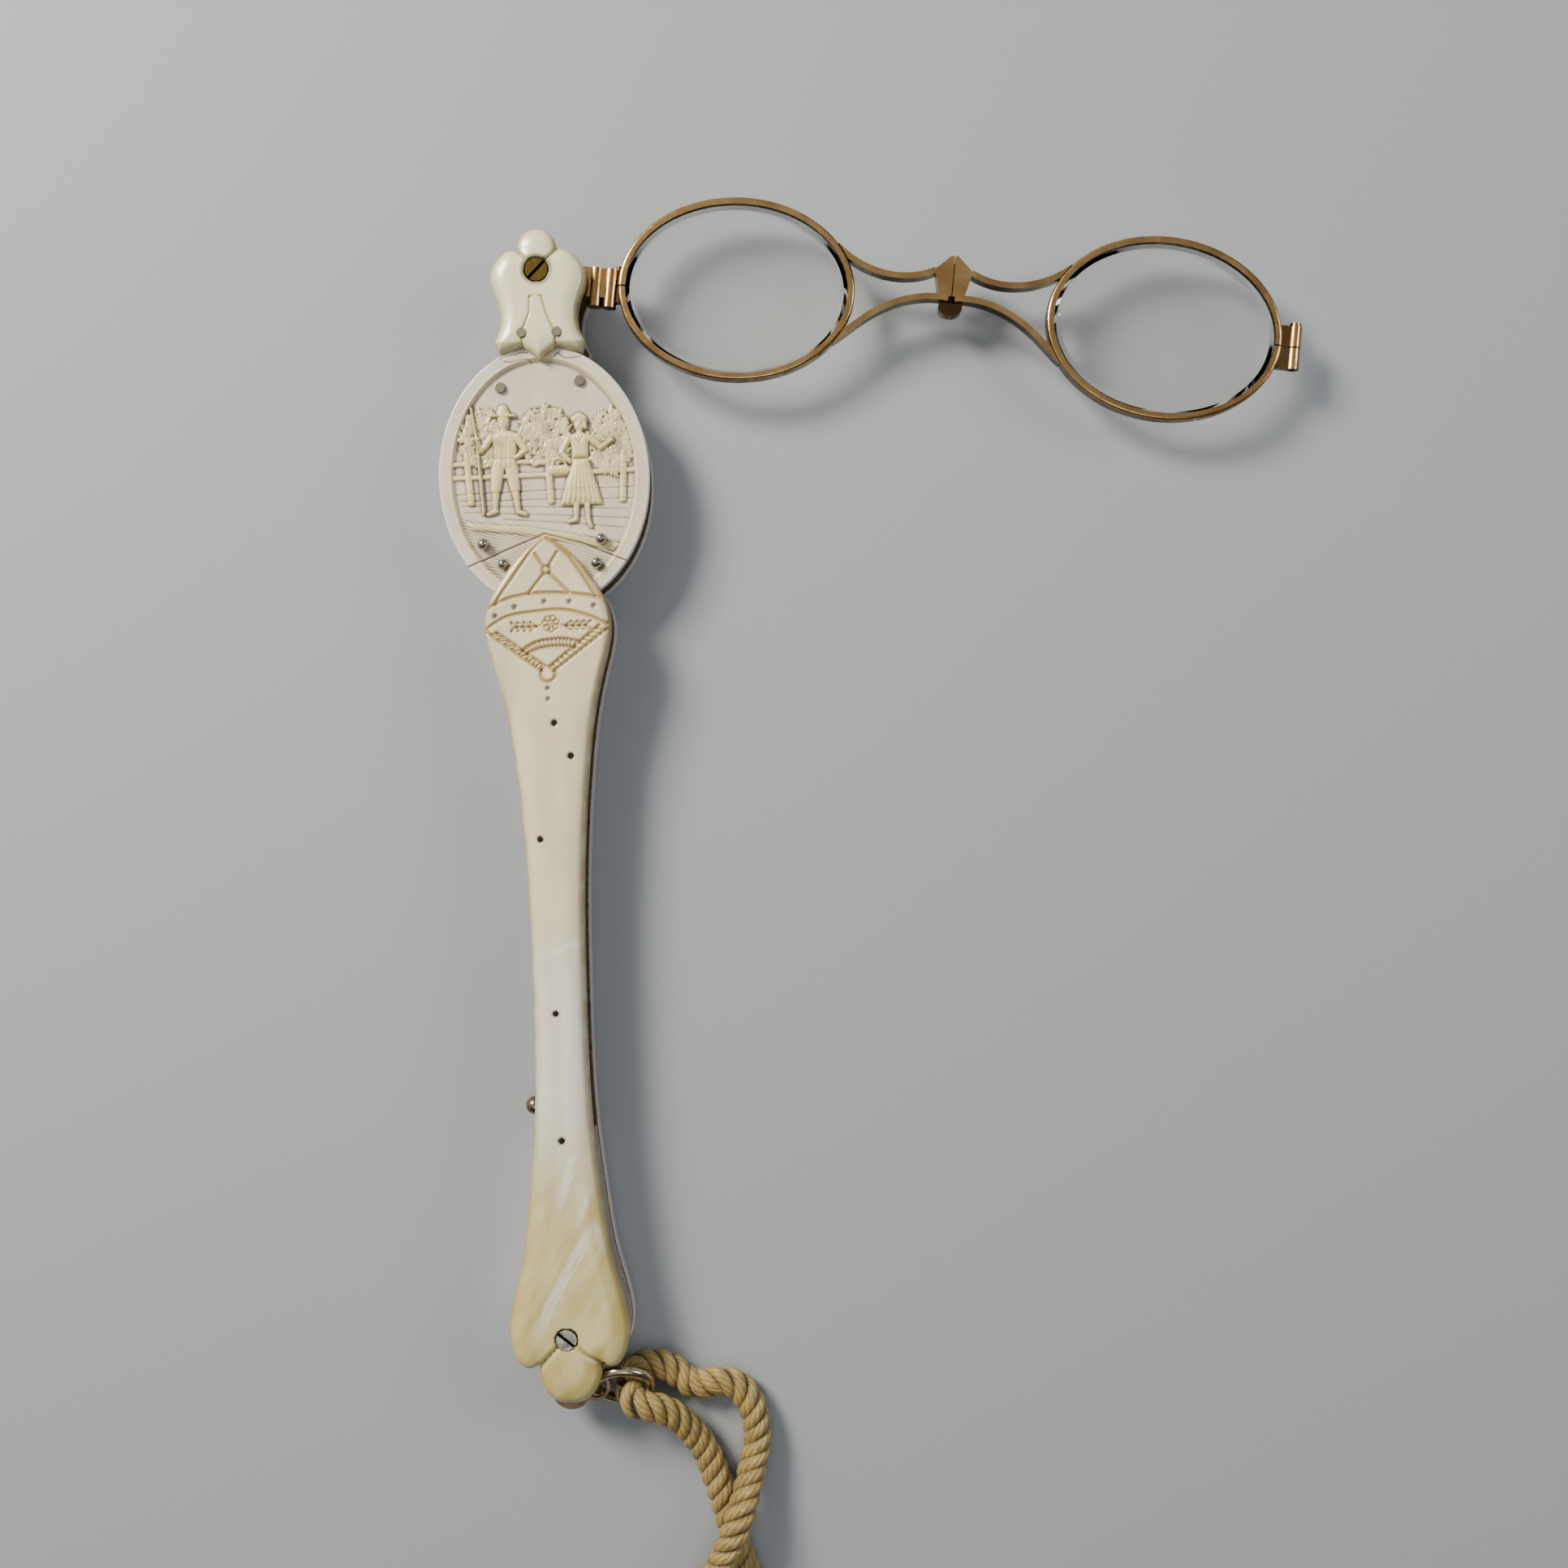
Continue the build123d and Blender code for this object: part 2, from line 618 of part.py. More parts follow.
def pivot_arm():
    """The hub round the pivot bush and the arm to two rolled barrels beside the inner rim's joint."""
    low, high = eye_low_z, eye_low_z + eye_depth
    v_low, v_high = arm_v - arm_barrel_length / 2, arm_v + arm_barrel_length / 2
    arm = Pos(0, 0, eye_mid_z) * Cylinder(hub_radius, eye_depth)
    arm += block((0, arm_v - arm_half_width, low + arm_skin),
                 (arm_barrels_u[1], arm_v + arm_half_width + arm_top_reach, high - arm_skin))
    for u in arm_barrels_u:
        arm += across(u, eye_mid_z, arm_barrel_radius, v_low, v_high)
    arm -= Pos(0, 0, eye_mid_z) * Cylinder(pivot_bush_radius + run_fit, 4 * eye_depth)
    arm -= slab(eye_ellipse(inner_lens_u, rim_wall + pin_fit), 0, head_top_z)
    room = inner_joint["radius"] + pin_fit
    arm -= across(joint_u(inner_lens_u, inner_joint, -1), eye_mid_z, room, v_low - 3, v_high + 3)
    return arm


# ---------------------------------------------------------------- release, ring and cord
def release():
    hinge_y = pivot_y - hinge_u
    nose_y = hinge_y - knuckle_radius - catch_clear
    tooth_x = boss_top_v + 2 * catch_clear
    base_y = hinge_y - boss_half_width - catch_tooth_root
    tooth = block((tooth_x, base_y - catch_tooth_root, rod_low_z),
                  (tooth_x + catch_tooth_width, nose_y, rod_low_z + catch_height))
    rod_top_y = base_y - catch_base
    base = block((rod_x - rod_half_width - catch_shoulder, rod_top_y, rod_low_z),
                 (tooth_x + catch_tooth_width, base_y, rod_low_z + catch_height))
    rod_end_y = tail_top_y - spring_end_room
    slide = block((rod_x - rod_half_width, rod_end_y, rod_low_z),
                  (rod_x + rod_half_width, rod_top_y, rod_top_z))
    stem_z = slot_floor_z + knob_radius + catch_clear
    stem_x = rod_x - rod_half_width
    knob = Pos(knob_x, knob_y, stem_z) * Sphere(knob_radius)
    stem = Cylinder(knob_stem_radius, stem_x - knob_x)
    knob += Pos((knob_x + stem_x) / 2, knob_y, stem_z) * Rot(0, 90, 0) * stem
    path = Helix(spring_room / spring_turns, spring_room - spring_wire - run_fit,
                 spring_radius - spring_wire / 2)
    coil = sweep(Plane(path @ 0, z_dir=path % 0) * Circle(spring_wire / 2), path)
    spring_mid_z = (rod_low_z + rod_top_z) / 2
    spring = Pos(rod_x, rod_end_y - run_fit - spring_wire / 2, spring_mid_z) * Rot(90, 0, 0) * coil
    guides = []
    for y in guides_y:
        outer = block((rod_x - rod_half_width - guide_wall, y - guide_length / 2, slot_floor_z),
                      (rod_x + rod_half_width + guide_wall, y + guide_length / 2, eye_low_z - run_fit))
        inner = block((rod_x - rod_half_width - run_fit, y - guide_length, 0),
                      (rod_x + rod_half_width + run_fit, y + guide_length, rod_top_z + run_fit))
        guides.append(outer - inner)
    return {"catch": tooth + base, "release_rod": slide, "release_knob": knob,
            "return_spring": spring, "rod_guides": Compound(guides)}


# The cord's route: hitched through the ring and over its outer side, then loosely on the table.
# The two hitch points lie one cord's bend away from the ring's wire
ring_mid_x = eye_at[0] + ring_radius
lean = math.radians(ring_lean)
cord_bend = ring_wire_radius + cord_radius + cord_clear
hitch_x = ring_mid_x + ring_radius - cord_bend
hitch_back = (cord_bend * math.cos(lean), -cord_bend * math.sin(lean))
near_y, near_z = eye_at[1] + hitch_back[0], ring_mid_z + hitch_back[1]
far_y, far_z = eye_at[1] - hitch_back[0], ring_mid_z - hitch_back[1]
lying_z = cord_radius
crossing_z = lying_z + cord_diameter + 0.4
cord_route = [
    (hitch_x, eye_at[1] + cord_clear, ring_mid_z - cord_clear),
    (hitch_x, near_y, near_z),
    (13.4, near_y, lying_z),
    (16.6, -132.7, lying_z),
    (23.4, -131.2, lying_z),
    (26.4, -138.4, lying_z),
    (24.9, -145.2, lying_z + 1.2),
    (22.6, -152.2, crossing_z),
    (18.2, -160.8, lying_z + 2.2),
    (10.5, -173.0, lying_z),
    (2.5, -196.0, lying_z),
    (-1.5, -226.0, lying_z),
    (2.0, -255.0, lying_z),
    (13.5, -273.5, lying_z),
    (30.5, -272.5, lying_z),
    (40.5, -252.0, lying_z),
    (41.0, -224.0, lying_z),
    (35.5, -194.0, lying_z),
    (28.5, -172.0, lying_z),
    (22.8, -157.5, lying_z),
    (20.7, -148.0, lying_z),
    (17.8, -140.0, lying_z),
    (13.0, far_y - 1.2, far_z - 1.5),
    (hitch_x, far_y, far_z),
    (hitch_x, eye_at[1] - cord_clear, ring_mid_z + cord_clear),
]


def ring():
    torus = Torus(ring_radius, ring_wire_radius)
    return {"ring": Pos(ring_mid_x, eye_at[1], ring_mid_z) * Rot(90 - ring_lean, 0, 0) * torus}


def cord():
    points = [Vector(*p) for p in cord_route]
    legs = [b - a for a, b in zip(points, points[1:])]
    # A bend takes just under half of each leg beside it, or nearly all of an end leg
    free = [0.45 * leg.length for leg in legs]
    free[0], free[-1] = 0.95 * legs[0].length, 0.95 * legs[-1].length
    radii = []
    for i, (before, after) in enumerate(zip(legs, legs[1:])):
        turn = math.radians(before.get_angle(after))
        radii.append(min(free[i], free[i + 1]) / math.tan(turn / 2))
    print("cord radii", [round(r, 1) for r in radii])
    path = FilletPolyline(*points, radius=radii)
    section = Plane(path @ 0, z_dir=path % 0) * Circle(cord_radius)
    tube = sweep(section, path)
    print("cord length", round(path.length, 1), "volume over section times length",
          round(tube.volume / (section.area * path.length), 4))
    return {"wrist_cord": tube}


# ---------------------------------------------------------------- the assembly
FRAME_NODES = ["pivot_arm", "inner_rim", "inner_lens", "inner_closing_screw", "inner_bridge",
               "bridge_pin", "bridge_spring", "outer_rim", "outer_lens", "outer_closing_screw",
               "outer_bridge"]


def build():
    nodes = {}
    for make in (pearl_plates, liners, spines, tail, fasteners, lens_frames, release, ring, cord):
        nodes.update(make())
    for name in FRAME_NODES:
        nodes[name] = in_frame(nodes[name])
    return nodes


os.makedirs("parts", exist_ok=True)
for name, shape in build().items():
    export_step(shape, f"parts/{name}.step")
    print(name, len(shape.solids()), round(shape.volume, 2))
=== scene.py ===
# %% [markdown]
# # A folding lorgnette in carved mother-of-pearl
# The part comes from CAD as a fixed frame: every solid is in its place, in metres, and moves with
# its body. This script gives it the looks of the real thing: carved shell plates, rolled gold,
# clear lenses and a laid silk cord. All lengths below are told in millimetres and turned to
# metres by `MM`, because that is how such a small thing is measured on the bench.

# %% Load the frame
import bpy
import math
import numpy as np
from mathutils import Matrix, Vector, geometry, kdtree


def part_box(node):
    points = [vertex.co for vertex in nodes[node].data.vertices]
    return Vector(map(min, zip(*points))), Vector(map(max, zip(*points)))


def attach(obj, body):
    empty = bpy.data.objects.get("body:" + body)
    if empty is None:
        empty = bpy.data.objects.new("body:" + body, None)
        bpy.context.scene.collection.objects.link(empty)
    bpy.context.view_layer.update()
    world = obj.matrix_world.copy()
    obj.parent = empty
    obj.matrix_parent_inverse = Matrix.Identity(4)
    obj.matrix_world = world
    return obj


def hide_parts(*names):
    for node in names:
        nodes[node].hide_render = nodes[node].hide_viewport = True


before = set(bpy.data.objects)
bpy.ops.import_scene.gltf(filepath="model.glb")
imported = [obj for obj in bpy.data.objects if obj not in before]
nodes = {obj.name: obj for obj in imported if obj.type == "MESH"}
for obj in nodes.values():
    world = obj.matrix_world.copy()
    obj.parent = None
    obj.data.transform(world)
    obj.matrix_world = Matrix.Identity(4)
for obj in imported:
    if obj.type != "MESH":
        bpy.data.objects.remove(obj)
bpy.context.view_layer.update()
MM = 0.001

# %% [markdown]
# ## Small helpers
# Blender works in linear light, while colours are picked as sRGB hex values, so one function
# turns them. Another adds a node to any tree with its settings and links: a setting is one of
# the node's own properties, and an input gets either a value or another node's output.


# %% Colours and nodes
def linear(hex_colour):
    """An sRGB hex value as linear red, green, blue and an alpha of 1."""
    parts = [int(hex_colour[i:i + 2], 16) / 255 for i in (1, 3, 5)]
    return [p / 12.92 if p <= 0.04045 else ((p + 0.055) / 1.055) ** 2.4 for p in parts] + [1.0]


def add(tree, kind, inputs=None, **settings):
    """A new node in a shader or geometry tree."""
    made = tree.nodes.new(kind)
    for name, value in settings.items():
        setattr(made, name, value)
    for name, value in (inputs or {}).items():
        if isinstance(value, bpy.types.NodeSocket):
            tree.links.new(value, made.inputs[name])
        else:
            made.inputs[name].default_value = value
    return made


def finish(name, **shader):
    """A material with one Principled shader: returns the material, its tree and the shader."""
    material = bpy.data.materials.new(name)
    material.use_nodes = True
    tree = material.node_tree
    surface = tree.nodes["Principled BSDF"]
    for socket, value in shader.items():
        surface.inputs[socket.replace("_", " ")].default_value = value
    return material, tree, surface


def blend_colours(tree, share, first, second, kind="MIX"):
    """The first colour turned into the second by the share."""
    mixed = add(tree, "ShaderNodeMix", {0: share, 6: first, 7: second},
                data_type="RGBA", blend_type=kind)
    return mixed.outputs[2]


def between(tree, value, low, high, out_low=0.0, out_high=1.0):
    """A value from low to high told as out_low to out_high, and held outside that."""
    made = add(tree, "ShaderNodeMapRange", {
        "Value": value, "From Min": low, "From Max": high, "To Min": out_low, "To Max": out_high})
    return made.outputs["Result"]


def sum_of(tree, kind, first, second):
    """A Math node, such as ADD or MULTIPLY, on two values."""
    return add(tree, "ShaderNodeMath", {0: first, 1: second}, operation=kind).outputs[0]


def size_of(tree, value):
    """A value without its sign."""
    return add(tree, "ShaderNodeMath", {0: value}, operation="ABSOLUTE").outputs[0]


def axes_of(tree, vector):
    """The three parts of a vector."""
    return add(tree, "ShaderNodeSeparateXYZ", {0: vector}).outputs


def mesh_value(tree, name):
    """A number that was stored on the mesh."""
    return add(tree, "ShaderNodeAttribute", attribute_name=name).outputs["Fac"]


def noise(tree, where, size_mm, detail=3.0, roughness=0.5, long=1.0, turn=0.0, offset=0.0):
    """A noise with blobs size_mm wide and long times as long, on coordinates in metres.

    The blobs' long side lies along Y, turned by turn radians.
    """
    placed = add(tree, "ShaderNodeMapping", {
        "Vector": where, "Rotation": (0, 0, turn), "Scale": (1, long, 1),
        "Location": (offset, 0, 0)}, vector_type="TEXTURE")
    return add(tree, "ShaderNodeTexNoise", {
        "Vector": placed.outputs[0], "Scale": 1 / (size_mm * MM), "Detail": detail,
        "Roughness": roughness}).outputs["Fac"]


def bump(tree, surface, height, deep_mm, normal=None):
    """Adds a bump of that depth to the shader, where height goes from 0 to 1."""
    inputs = {"Height": height, "Strength": 1.0, "Distance": deep_mm * MM}
    if normal is not None:
        inputs["Normal"] = normal
    made = add(tree, "ShaderNodeBump", inputs)
    tree.links.new(made.outputs[0], surface.inputs["Normal"])
    return made.outputs[0]


def dress(name, material):
    """A CAD node keeps its shape and gets the material."""
    for holder in nodes[name].material_slots:
        holder.material = material


# %% [markdown]
# ## Camera, floor and light
# The photograph was taken from straight above, about 230 mm over the table, with a lens that
# sees 53 degrees. The same place and lens give the same perspective: the front plates look
# larger than the back ones, and their right-hand walls show. The floor is a plain grey surface.
# A strong soft light from the upper left throws the shadows, and a weak one from the right and a
# broad one overhead fill them. The room is bright towards the window and dim elsewhere, which
# polished metal shows as light and dark bands.

# %% Camera
eye = bpy.data.objects.new("camera", bpy.data.cameras.new("camera"))
bpy.context.collection.objects.link(eye)
eye.data.sensor_width = 36.0
eye.data.lens = 36.0
eye.data.clip_start = 0.01
eye.location = (32.8 * MM, -44.7 * MM, 232.0 * MM)
eye.rotation_euler = (0.0, 0.0, math.radians(-1.73))
bpy.context.scene.camera = eye
print("camera height", round(eye.location.z, 4), "m")

# %% Floor and light
floor_mesh = bpy.data.meshes.new("floor")
reach = 3.0
corners = [(-reach, -reach, 0), (reach, -reach, 0), (reach, reach, 0), (-reach, reach, 0)]
floor_mesh.from_pydata(corners, [], [(0, 1, 2, 3)])
floor = bpy.data.objects.new("floor", floor_mesh)
bpy.context.collection.objects.link(floor)
floor.location.z = -0.02 * MM
floor_paint, _, _ = finish("matt studio board", Base_Color=linear("#9FA2A5"), Roughness=0.75)
floor_mesh.materials.append(floor_paint)


def soft_light(name, place, aim, size, power, colour):
    """A square lamp that looks at a point."""
    lamp = bpy.data.lights.new(name, "AREA")
    lamp.size = size
    lamp.energy = power
    lamp.color = linear(colour)[:3]
    holder = bpy.data.objects.new(name, lamp)
    bpy.context.collection.objects.link(holder)
    holder.location = place
    holder.rotation_euler = (Vector(aim) - Vector(place)).to_track_quat("-Z", "Y").to_euler()
    return holder


aim = (0.02, -0.04, 0.0)
soft_light("window_left", (-0.36, 0.32, 0.40), aim, 0.20, 7.0, "#FFFAF0")
soft_light("window_right", (0.52, 0.10, 0.34), aim, 0.24, 1.1, "#F4F8FF")
soft_light("ceiling", (0.05, -0.30, 0.90), aim, 0.40, 0.9, "#FFFFFF")
world = bpy.data.worlds.new("room")
bpy.context.scene.world = world
world.use_nodes = True
sky = world.node_tree.nodes["Background"]
sky.inputs["Color"].default_value = linear("#D9DDE0")
towards = add(world.node_tree, "ShaderNodeVectorMath", {
    0: add(world.node_tree, "ShaderNodeTexCoord").outputs["Generated"],
    1: (-0.55, 0.55, 0.63)}, operation="DOT_PRODUCT").outputs["Value"]
dim_sky, bright_sky = 0.08, 0.75
strength = between(world.node_tree, towards, 0.1, 0.95, dim_sky, bright_sky)
world.node_tree.links.new(strength, sky.inputs["Strength"])

# %% [markdown]
# ## The silk cord
# The cord is a laid rope: three strands of silk-like yarn twisted round each other, 4.4 mm
# thick and endless, hitched through the ring. It lies in a long loop, and only its start shows
# from the camera. Its middle line is one smooth NURBS curve through listed control
# points. Strands that wind round a path are a job for Geometry Nodes: the tree copies the
# path three times, moves each copy off the middle by an angle that grows with the length, and
# gives it a round section.

# %% The cord's route
strand_radius = 1.04
strand_offset = 1.14
lay_length = 6.6
route_points = [
    (7.85, -130.85, 4.65), (7.85, -128.93, 2.5), (13.4, -128.93, 2.2), (16.6, -132.7, 2.2),
    (23.4, -131.2, 2.2), (26.6, -138.4, 2.2), (25.0, -145.2, 3.4), (22.6, -152.2, 7.1),
    (18.2, -160.8, 4.4), (10.5, -173.0, 2.2), (2.5, -196.0, 2.2), (-1.5, -226.0, 2.2),
    (2.0, -255.0, 2.2), (13.5, -273.5, 2.2), (30.5, -272.5, 2.2), (40.5, -252.0, 2.2),
    (41.0, -224.0, 2.2), (35.5, -194.0, 2.2), (28.5, -172.0, 2.2), (22.8, -157.5, 2.2),
    (20.7, -148.0, 2.2), (17.8, -140.0, 2.2), (13.0, -134.27, 5.5), (7.85, -133.07, 7.1),
    (7.85, -131.15, 4.95)]

route_curve = bpy.data.curves.new("cord_route", "CURVE")
route_curve.dimensions = "3D"
route_curve.resolution_u = 24
spline = route_curve.splines.new("NURBS")
spline.points.add(len(route_points) - 1)
for control, (x, y, z) in zip(spline.points, route_points):
    control.co = (x * MM, y * MM, z * MM, 1.0)
spline.order_u = 3
spline.use_endpoint_u = True
route = bpy.data.objects.new("cord_route", route_curve)
bpy.context.collection.objects.link(route)
route_line = bpy.data.meshes.new_from_object(route)
middle_line = [tuple(v.co) for v in route_line.vertices]
route_length = sum(math.dist(a, b) for a, b in zip(middle_line, middle_line[1:]))
bpy.data.objects.remove(route)
print("cord: middle line", round(route_length / MM, 1), "mm,", len(middle_line), "points")


# %% Strands wound round the route
def geometry_tree(name, sizes):
    """An empty Geometry Nodes tree with a mesh coming in, named sizes, and a mesh going out."""
    tree = bpy.data.node_groups.new(name, "GeometryNodeTree")
    sockets = tree.interface
    sockets.new_socket("Geometry", in_out="INPUT", socket_type="NodeSocketGeometry")
    for label, kind in sizes:
        sockets.new_socket(label, in_out="INPUT", socket_type=f"NodeSocket{kind}")
    sockets.new_socket("Geometry", in_out="OUTPUT", socket_type="NodeSocketGeometry")
    return tree, tree.nodes.new("NodeGroupInput").outputs


def grown(name, start_mesh, tree, values):
    """The plain mesh that a tree makes from a start mesh, as a new object at the origin."""
    holder = bpy.data.objects.new(name + "_start", start_mesh)
    bpy.context.collection.objects.link(holder)
    modifier = holder.modifiers.new("grow", "NODES")
    modifier.node_group = tree
    for item in tree.interface.items_tree:
        if item.in_out == "INPUT" and item.name in values:
            modifier[item.identifier] = values[item.name]
    evaluated = holder.evaluated_get(bpy.context.evaluated_depsgraph_get())
    mesh = bpy.data.meshes.new_from_object(evaluated)
    bpy.data.objects.remove(holder)
    mesh.name = name
    made = bpy.data.objects.new(name, mesh)
    bpy.context.collection.objects.link(made)
    print(name, len(mesh.vertices), "vertices,", len(mesh.polygons), "faces")
    return made


def finish_tree(tree, shape, material_socket):
    """Ends a tree: instances made real, then the material set."""
    real = add(tree, "GeometryNodeRealizeInstances", {"Geometry": shape})
    painted = add(tree, "GeometryNodeSetMaterial", {
        "Geometry": real.outputs[0], "Material": material_socket})
    add(tree, "NodeGroupOutput", {"Geometry": painted.outputs[0]})


def rope_tree():
    tree, given = geometry_tree("laid_rope", [
        ("Strand radius", "Float"), ("Strand offset", "Float"), ("Lay length", "Float"),
        ("Strands", "Int"), ("Step", "Float"), ("Material", "Material")])
    path = add(tree, "GeometryNodeMeshToCurve", {"Mesh": given["Geometry"]})
    path = add(tree, "GeometryNodeResampleCurve", {
        "Curve": path.outputs[0], "Length": given["Step"]}, mode="LENGTH")
    path = add(tree, "GeometryNodeSetCurveNormal", {"Curve": path.outputs[0]}, mode="MINIMUM_TWIST")
    copies = add(tree, "GeometryNodeDuplicateElements", {
        "Geometry": path.outputs[0], "Amount": given["Strands"]}, domain="SPLINE")
    along = add(tree, "GeometryNodeSplineParameter").outputs["Length"]
    turns = add(tree, "ShaderNodeMath", {0: along, 1: given["Lay length"]}, operation="DIVIDE")
    share = add(tree, "ShaderNodeMath", {
        0: copies.outputs["Duplicate Index"], 1: given["Strands"]}, operation="DIVIDE")
    turns = add(tree, "ShaderNodeMath", {0: turns.outputs[0], 1: share.outputs[0]}, operation="ADD")
    angle = add(tree, "ShaderNodeMath", {0: turns.outputs[0], 1: math.tau}, operation="MULTIPLY")
    normal = add(tree, "GeometryNodeInputNormal").outputs[0]
    tangent = add(tree, "GeometryNodeInputTangent").outputs[0]
    turned = add(tree, "ShaderNodeVectorRotate", {
        "Vector": normal, "Axis": tangent, "Angle": angle.outputs[0]}, rotation_type="AXIS_ANGLE")
    away = add(tree, "ShaderNodeVectorMath", {
        0: turned.outputs[0], "Scale": given["Strand offset"]}, operation="SCALE")
    kept = add(tree, "GeometryNodeStoreNamedAttribute", {
        "Geometry": copies.outputs["Geometry"], "Name": "outward", "Value": turned.outputs[0]},
        data_type="FLOAT_VECTOR")
    moved = add(tree, "GeometryNodeSetPosition", {
        "Geometry": kept.outputs[0], "Offset": away.outputs[0]})
    kept = add(tree, "GeometryNodeStoreNamedAttribute", {
        "Geometry": moved.outputs[0], "Name": "along", "Value": along}, data_type="FLOAT")
    ring = add(tree, "GeometryNodeCurvePrimitiveCircle", {
        "Resolution": 14, "Radius": given["Strand radius"]})
    around = add(tree, "GeometryNodeInputPosition").outputs[0]
    ring = add(tree, "GeometryNodeStoreNamedAttribute", {
        "Geometry": ring.outputs["Curve"], "Name": "around", "Value": around},
        data_type="FLOAT_VECTOR")
    tube = add(tree, "GeometryNodeCurveToMesh", {
        "Curve": kept.outputs[0], "Profile Curve": ring.outputs[0], "Fill Caps": True})
    outward = add(tree, "GeometryNodeInputNamedAttribute", {"Name": "outward"},
                  data_type="FLOAT_VECTOR").outputs[0]
    # Painted shade: how far the surface faces the cord's middle is kept as inward, and the silk
    # darkens those sides as shade in the creases.
    facing = add(tree, "ShaderNodeVectorMath", {
        0: outward, 1: add(tree, "GeometryNodeInputNormal").outputs[0]}, operation="DOT_PRODUCT")
    inward = sum_of(tree, "SUBTRACT", 0.75, facing.outputs["Value"])
    shaded = add(tree, "GeometryNodeStoreNamedAttribute", {
        "Geometry": tube.outputs[0], "Name": "inward", "Value": inward}, data_type="FLOAT")
    smooth = add(tree, "GeometryNodeSetShadeSmooth", {"Geometry": shaded.outputs[0]})
    finish_tree(tree, smooth.outputs[0], given["Material"])
    return tree


# %% [markdown]
# Silk-like floss is shiny along its fibres. Each strand is a bundle of fine yarns that wind
# the other way round than the strands do, which shows as short slanting hairs. The tree above
# left two attributes on the mesh for this, the length along the strand and the place round it,
# so the yarn pattern follows the twist wherever the cord bends. The sheen of the hairs is
# painted in as light stripes, the grooves between the yarns are painted darker as shade, and
# the sides of the strands that face the cord's middle are painted dark as shade in the creases
# between them; the tree stores how far they face inward as another attribute.

# %% Silk floss
silk, tree, surface = finish("twisted silk floss", Roughness=0.3, Sheen_Weight=0.12,
                             Sheen_Roughness=0.4, IOR=1.5, Specular_IOR_Level=0.85)
surface.inputs["Sheen Tint"].default_value = linear("#F6E7BE")
yarn_count = 7
yarn_pitch = 9.0
along = mesh_value(tree, "along")
around = add(tree, "ShaderNodeAttribute", attribute_name="around").outputs["Vector"]
parts = axes_of(tree, around)
angle = sum_of(tree, "ARCTAN2", parts[1], parts[0])
phase = sum_of(tree, "ADD", sum_of(tree, "MULTIPLY", angle, yarn_count),
               sum_of(tree, "MULTIPLY", along, math.tau * yarn_count / (yarn_pitch * MM)))
yarn = add(tree, "ShaderNodeMath", {0: phase}, operation="SINE").outputs[0]
place = add(tree, "ShaderNodeTexCoord").outputs["Object"]
fluff = noise(tree, place, 0.3, 5.0, 0.65)
tone = noise(tree, place, 2.2, 2.0)
sheen_hairs = sum_of(tree, "MULTIPLY", phase, 3.0)
sheen_hairs = sum_of(tree, "ADD", sheen_hairs, sum_of(tree, "MULTIPLY", fluff, 9.0))
sheen_hairs = add(tree, "ShaderNodeMath", {0: sheen_hairs}, operation="SINE").outputs[0]
colour = blend_colours(tree, between(tree, tone, 0.38, 0.62), linear("#7E611E"), linear("#AA883C"))
# Painted sheen: light stripes along the hairs.
colour = blend_colours(tree, between(tree, sheen_hairs, -1, 1, 0.0, 0.5), colour, linear("#E0C67A"))
# Painted shade: the grooves between the yarns are darkened.
colour = blend_colours(tree, between(tree, yarn, -1.0, -0.2, 0.5, 0.0), colour, linear("#5C4416"))
colour = blend_colours(tree, between(tree, fluff, 0.56, 0.75, 0.0, 0.3), colour, linear("#EBD29C"))
# Painted shade: strand sides that face the cord's middle turn dark, as in the shaded creases
# between strands.
inner = mesh_value(tree, "inward")
colour = blend_colours(tree, between(tree, inner, 0.0, 0.5, 0.0, 0.92), colour, linear("#38260A"))
tree.links.new(colour, surface.inputs["Base Color"])
soft = sum_of(tree, "ADD", sum_of(tree, "MULTIPLY", yarn, 0.45),
              sum_of(tree, "MULTIPLY", sheen_hairs, 0.3))
bump(tree, surface, sum_of(tree, "ADD", soft, fluff), 0.10)

wrist_cord = grown("wrist_cord_strands", route_line, rope_tree(), {
    "Strand radius": strand_radius * MM, "Strand offset": strand_offset * MM,
    "Lay length": lay_length * MM, "Strands": 3, "Step": 0.3 * MM, "Material": silk})
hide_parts("wrist_cord")
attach(wrist_cord, "ring")

# %% [markdown]
# ## Carving shell plates
# The front of the lorgnette is five plates of mother-of-pearl, pinned on brass liners. A
# carver cuts them with gravers and files, so the natural tool here is a height map: a fine
# grid of heights over the plate, on which each cut lowers and each rounded form raises the
# surface. The outline comes from the CAD plate, so that the carved plate fits its neighbours.
# The grid is then triangulated inside the outline, and closed with walls and a flat back.


# %% The plate's outline, from its CAD node
def outline_of(name, level):
    """The longest boundary of the node's flat face at that height, in mm, anticlockwise."""
    mesh = nodes[name].data
    place = {}
    keys = []
    for vertex in mesh.vertices:
        co = nodes[name].matrix_world @ vertex.co / MM
        key = (round(co.x, 3), round(co.y, 3), round(co.z, 3))
        place[key] = (co.x, co.y)
        keys.append(key)
    count = {}
    for face in mesh.polygons:
        corners = [keys[i] for i in face.vertices]
        if all(abs(c[2] - level) < 0.003 for c in corners):
            for a, b in zip(corners, corners[1:] + corners[:1]):
                if a != b:
                    count[(a, b)] = count.get((a, b), 0) + 1
    following = {a: b for a, b in count if (b, a) not in count}
    loops = []
    while following:
        start, here = following.popitem()
        loop = [start]
        while here != start and here in following:
            loop.append(here)
            here = following.pop(here)
        loops.append(loop)
    longest = max(loops, key=lambda l: max(p[0] for p in l) - min(p[0] for p in l)
                  + max(p[1] for p in l) - min(p[1] for p in l))
    points = np.array([place[k] for k in longest])
    x, y = points.T
    if np.sum(x * np.roll(y, -1) - np.roll(x, -1) * y) < 0:
        points = points[::-1]
    return points


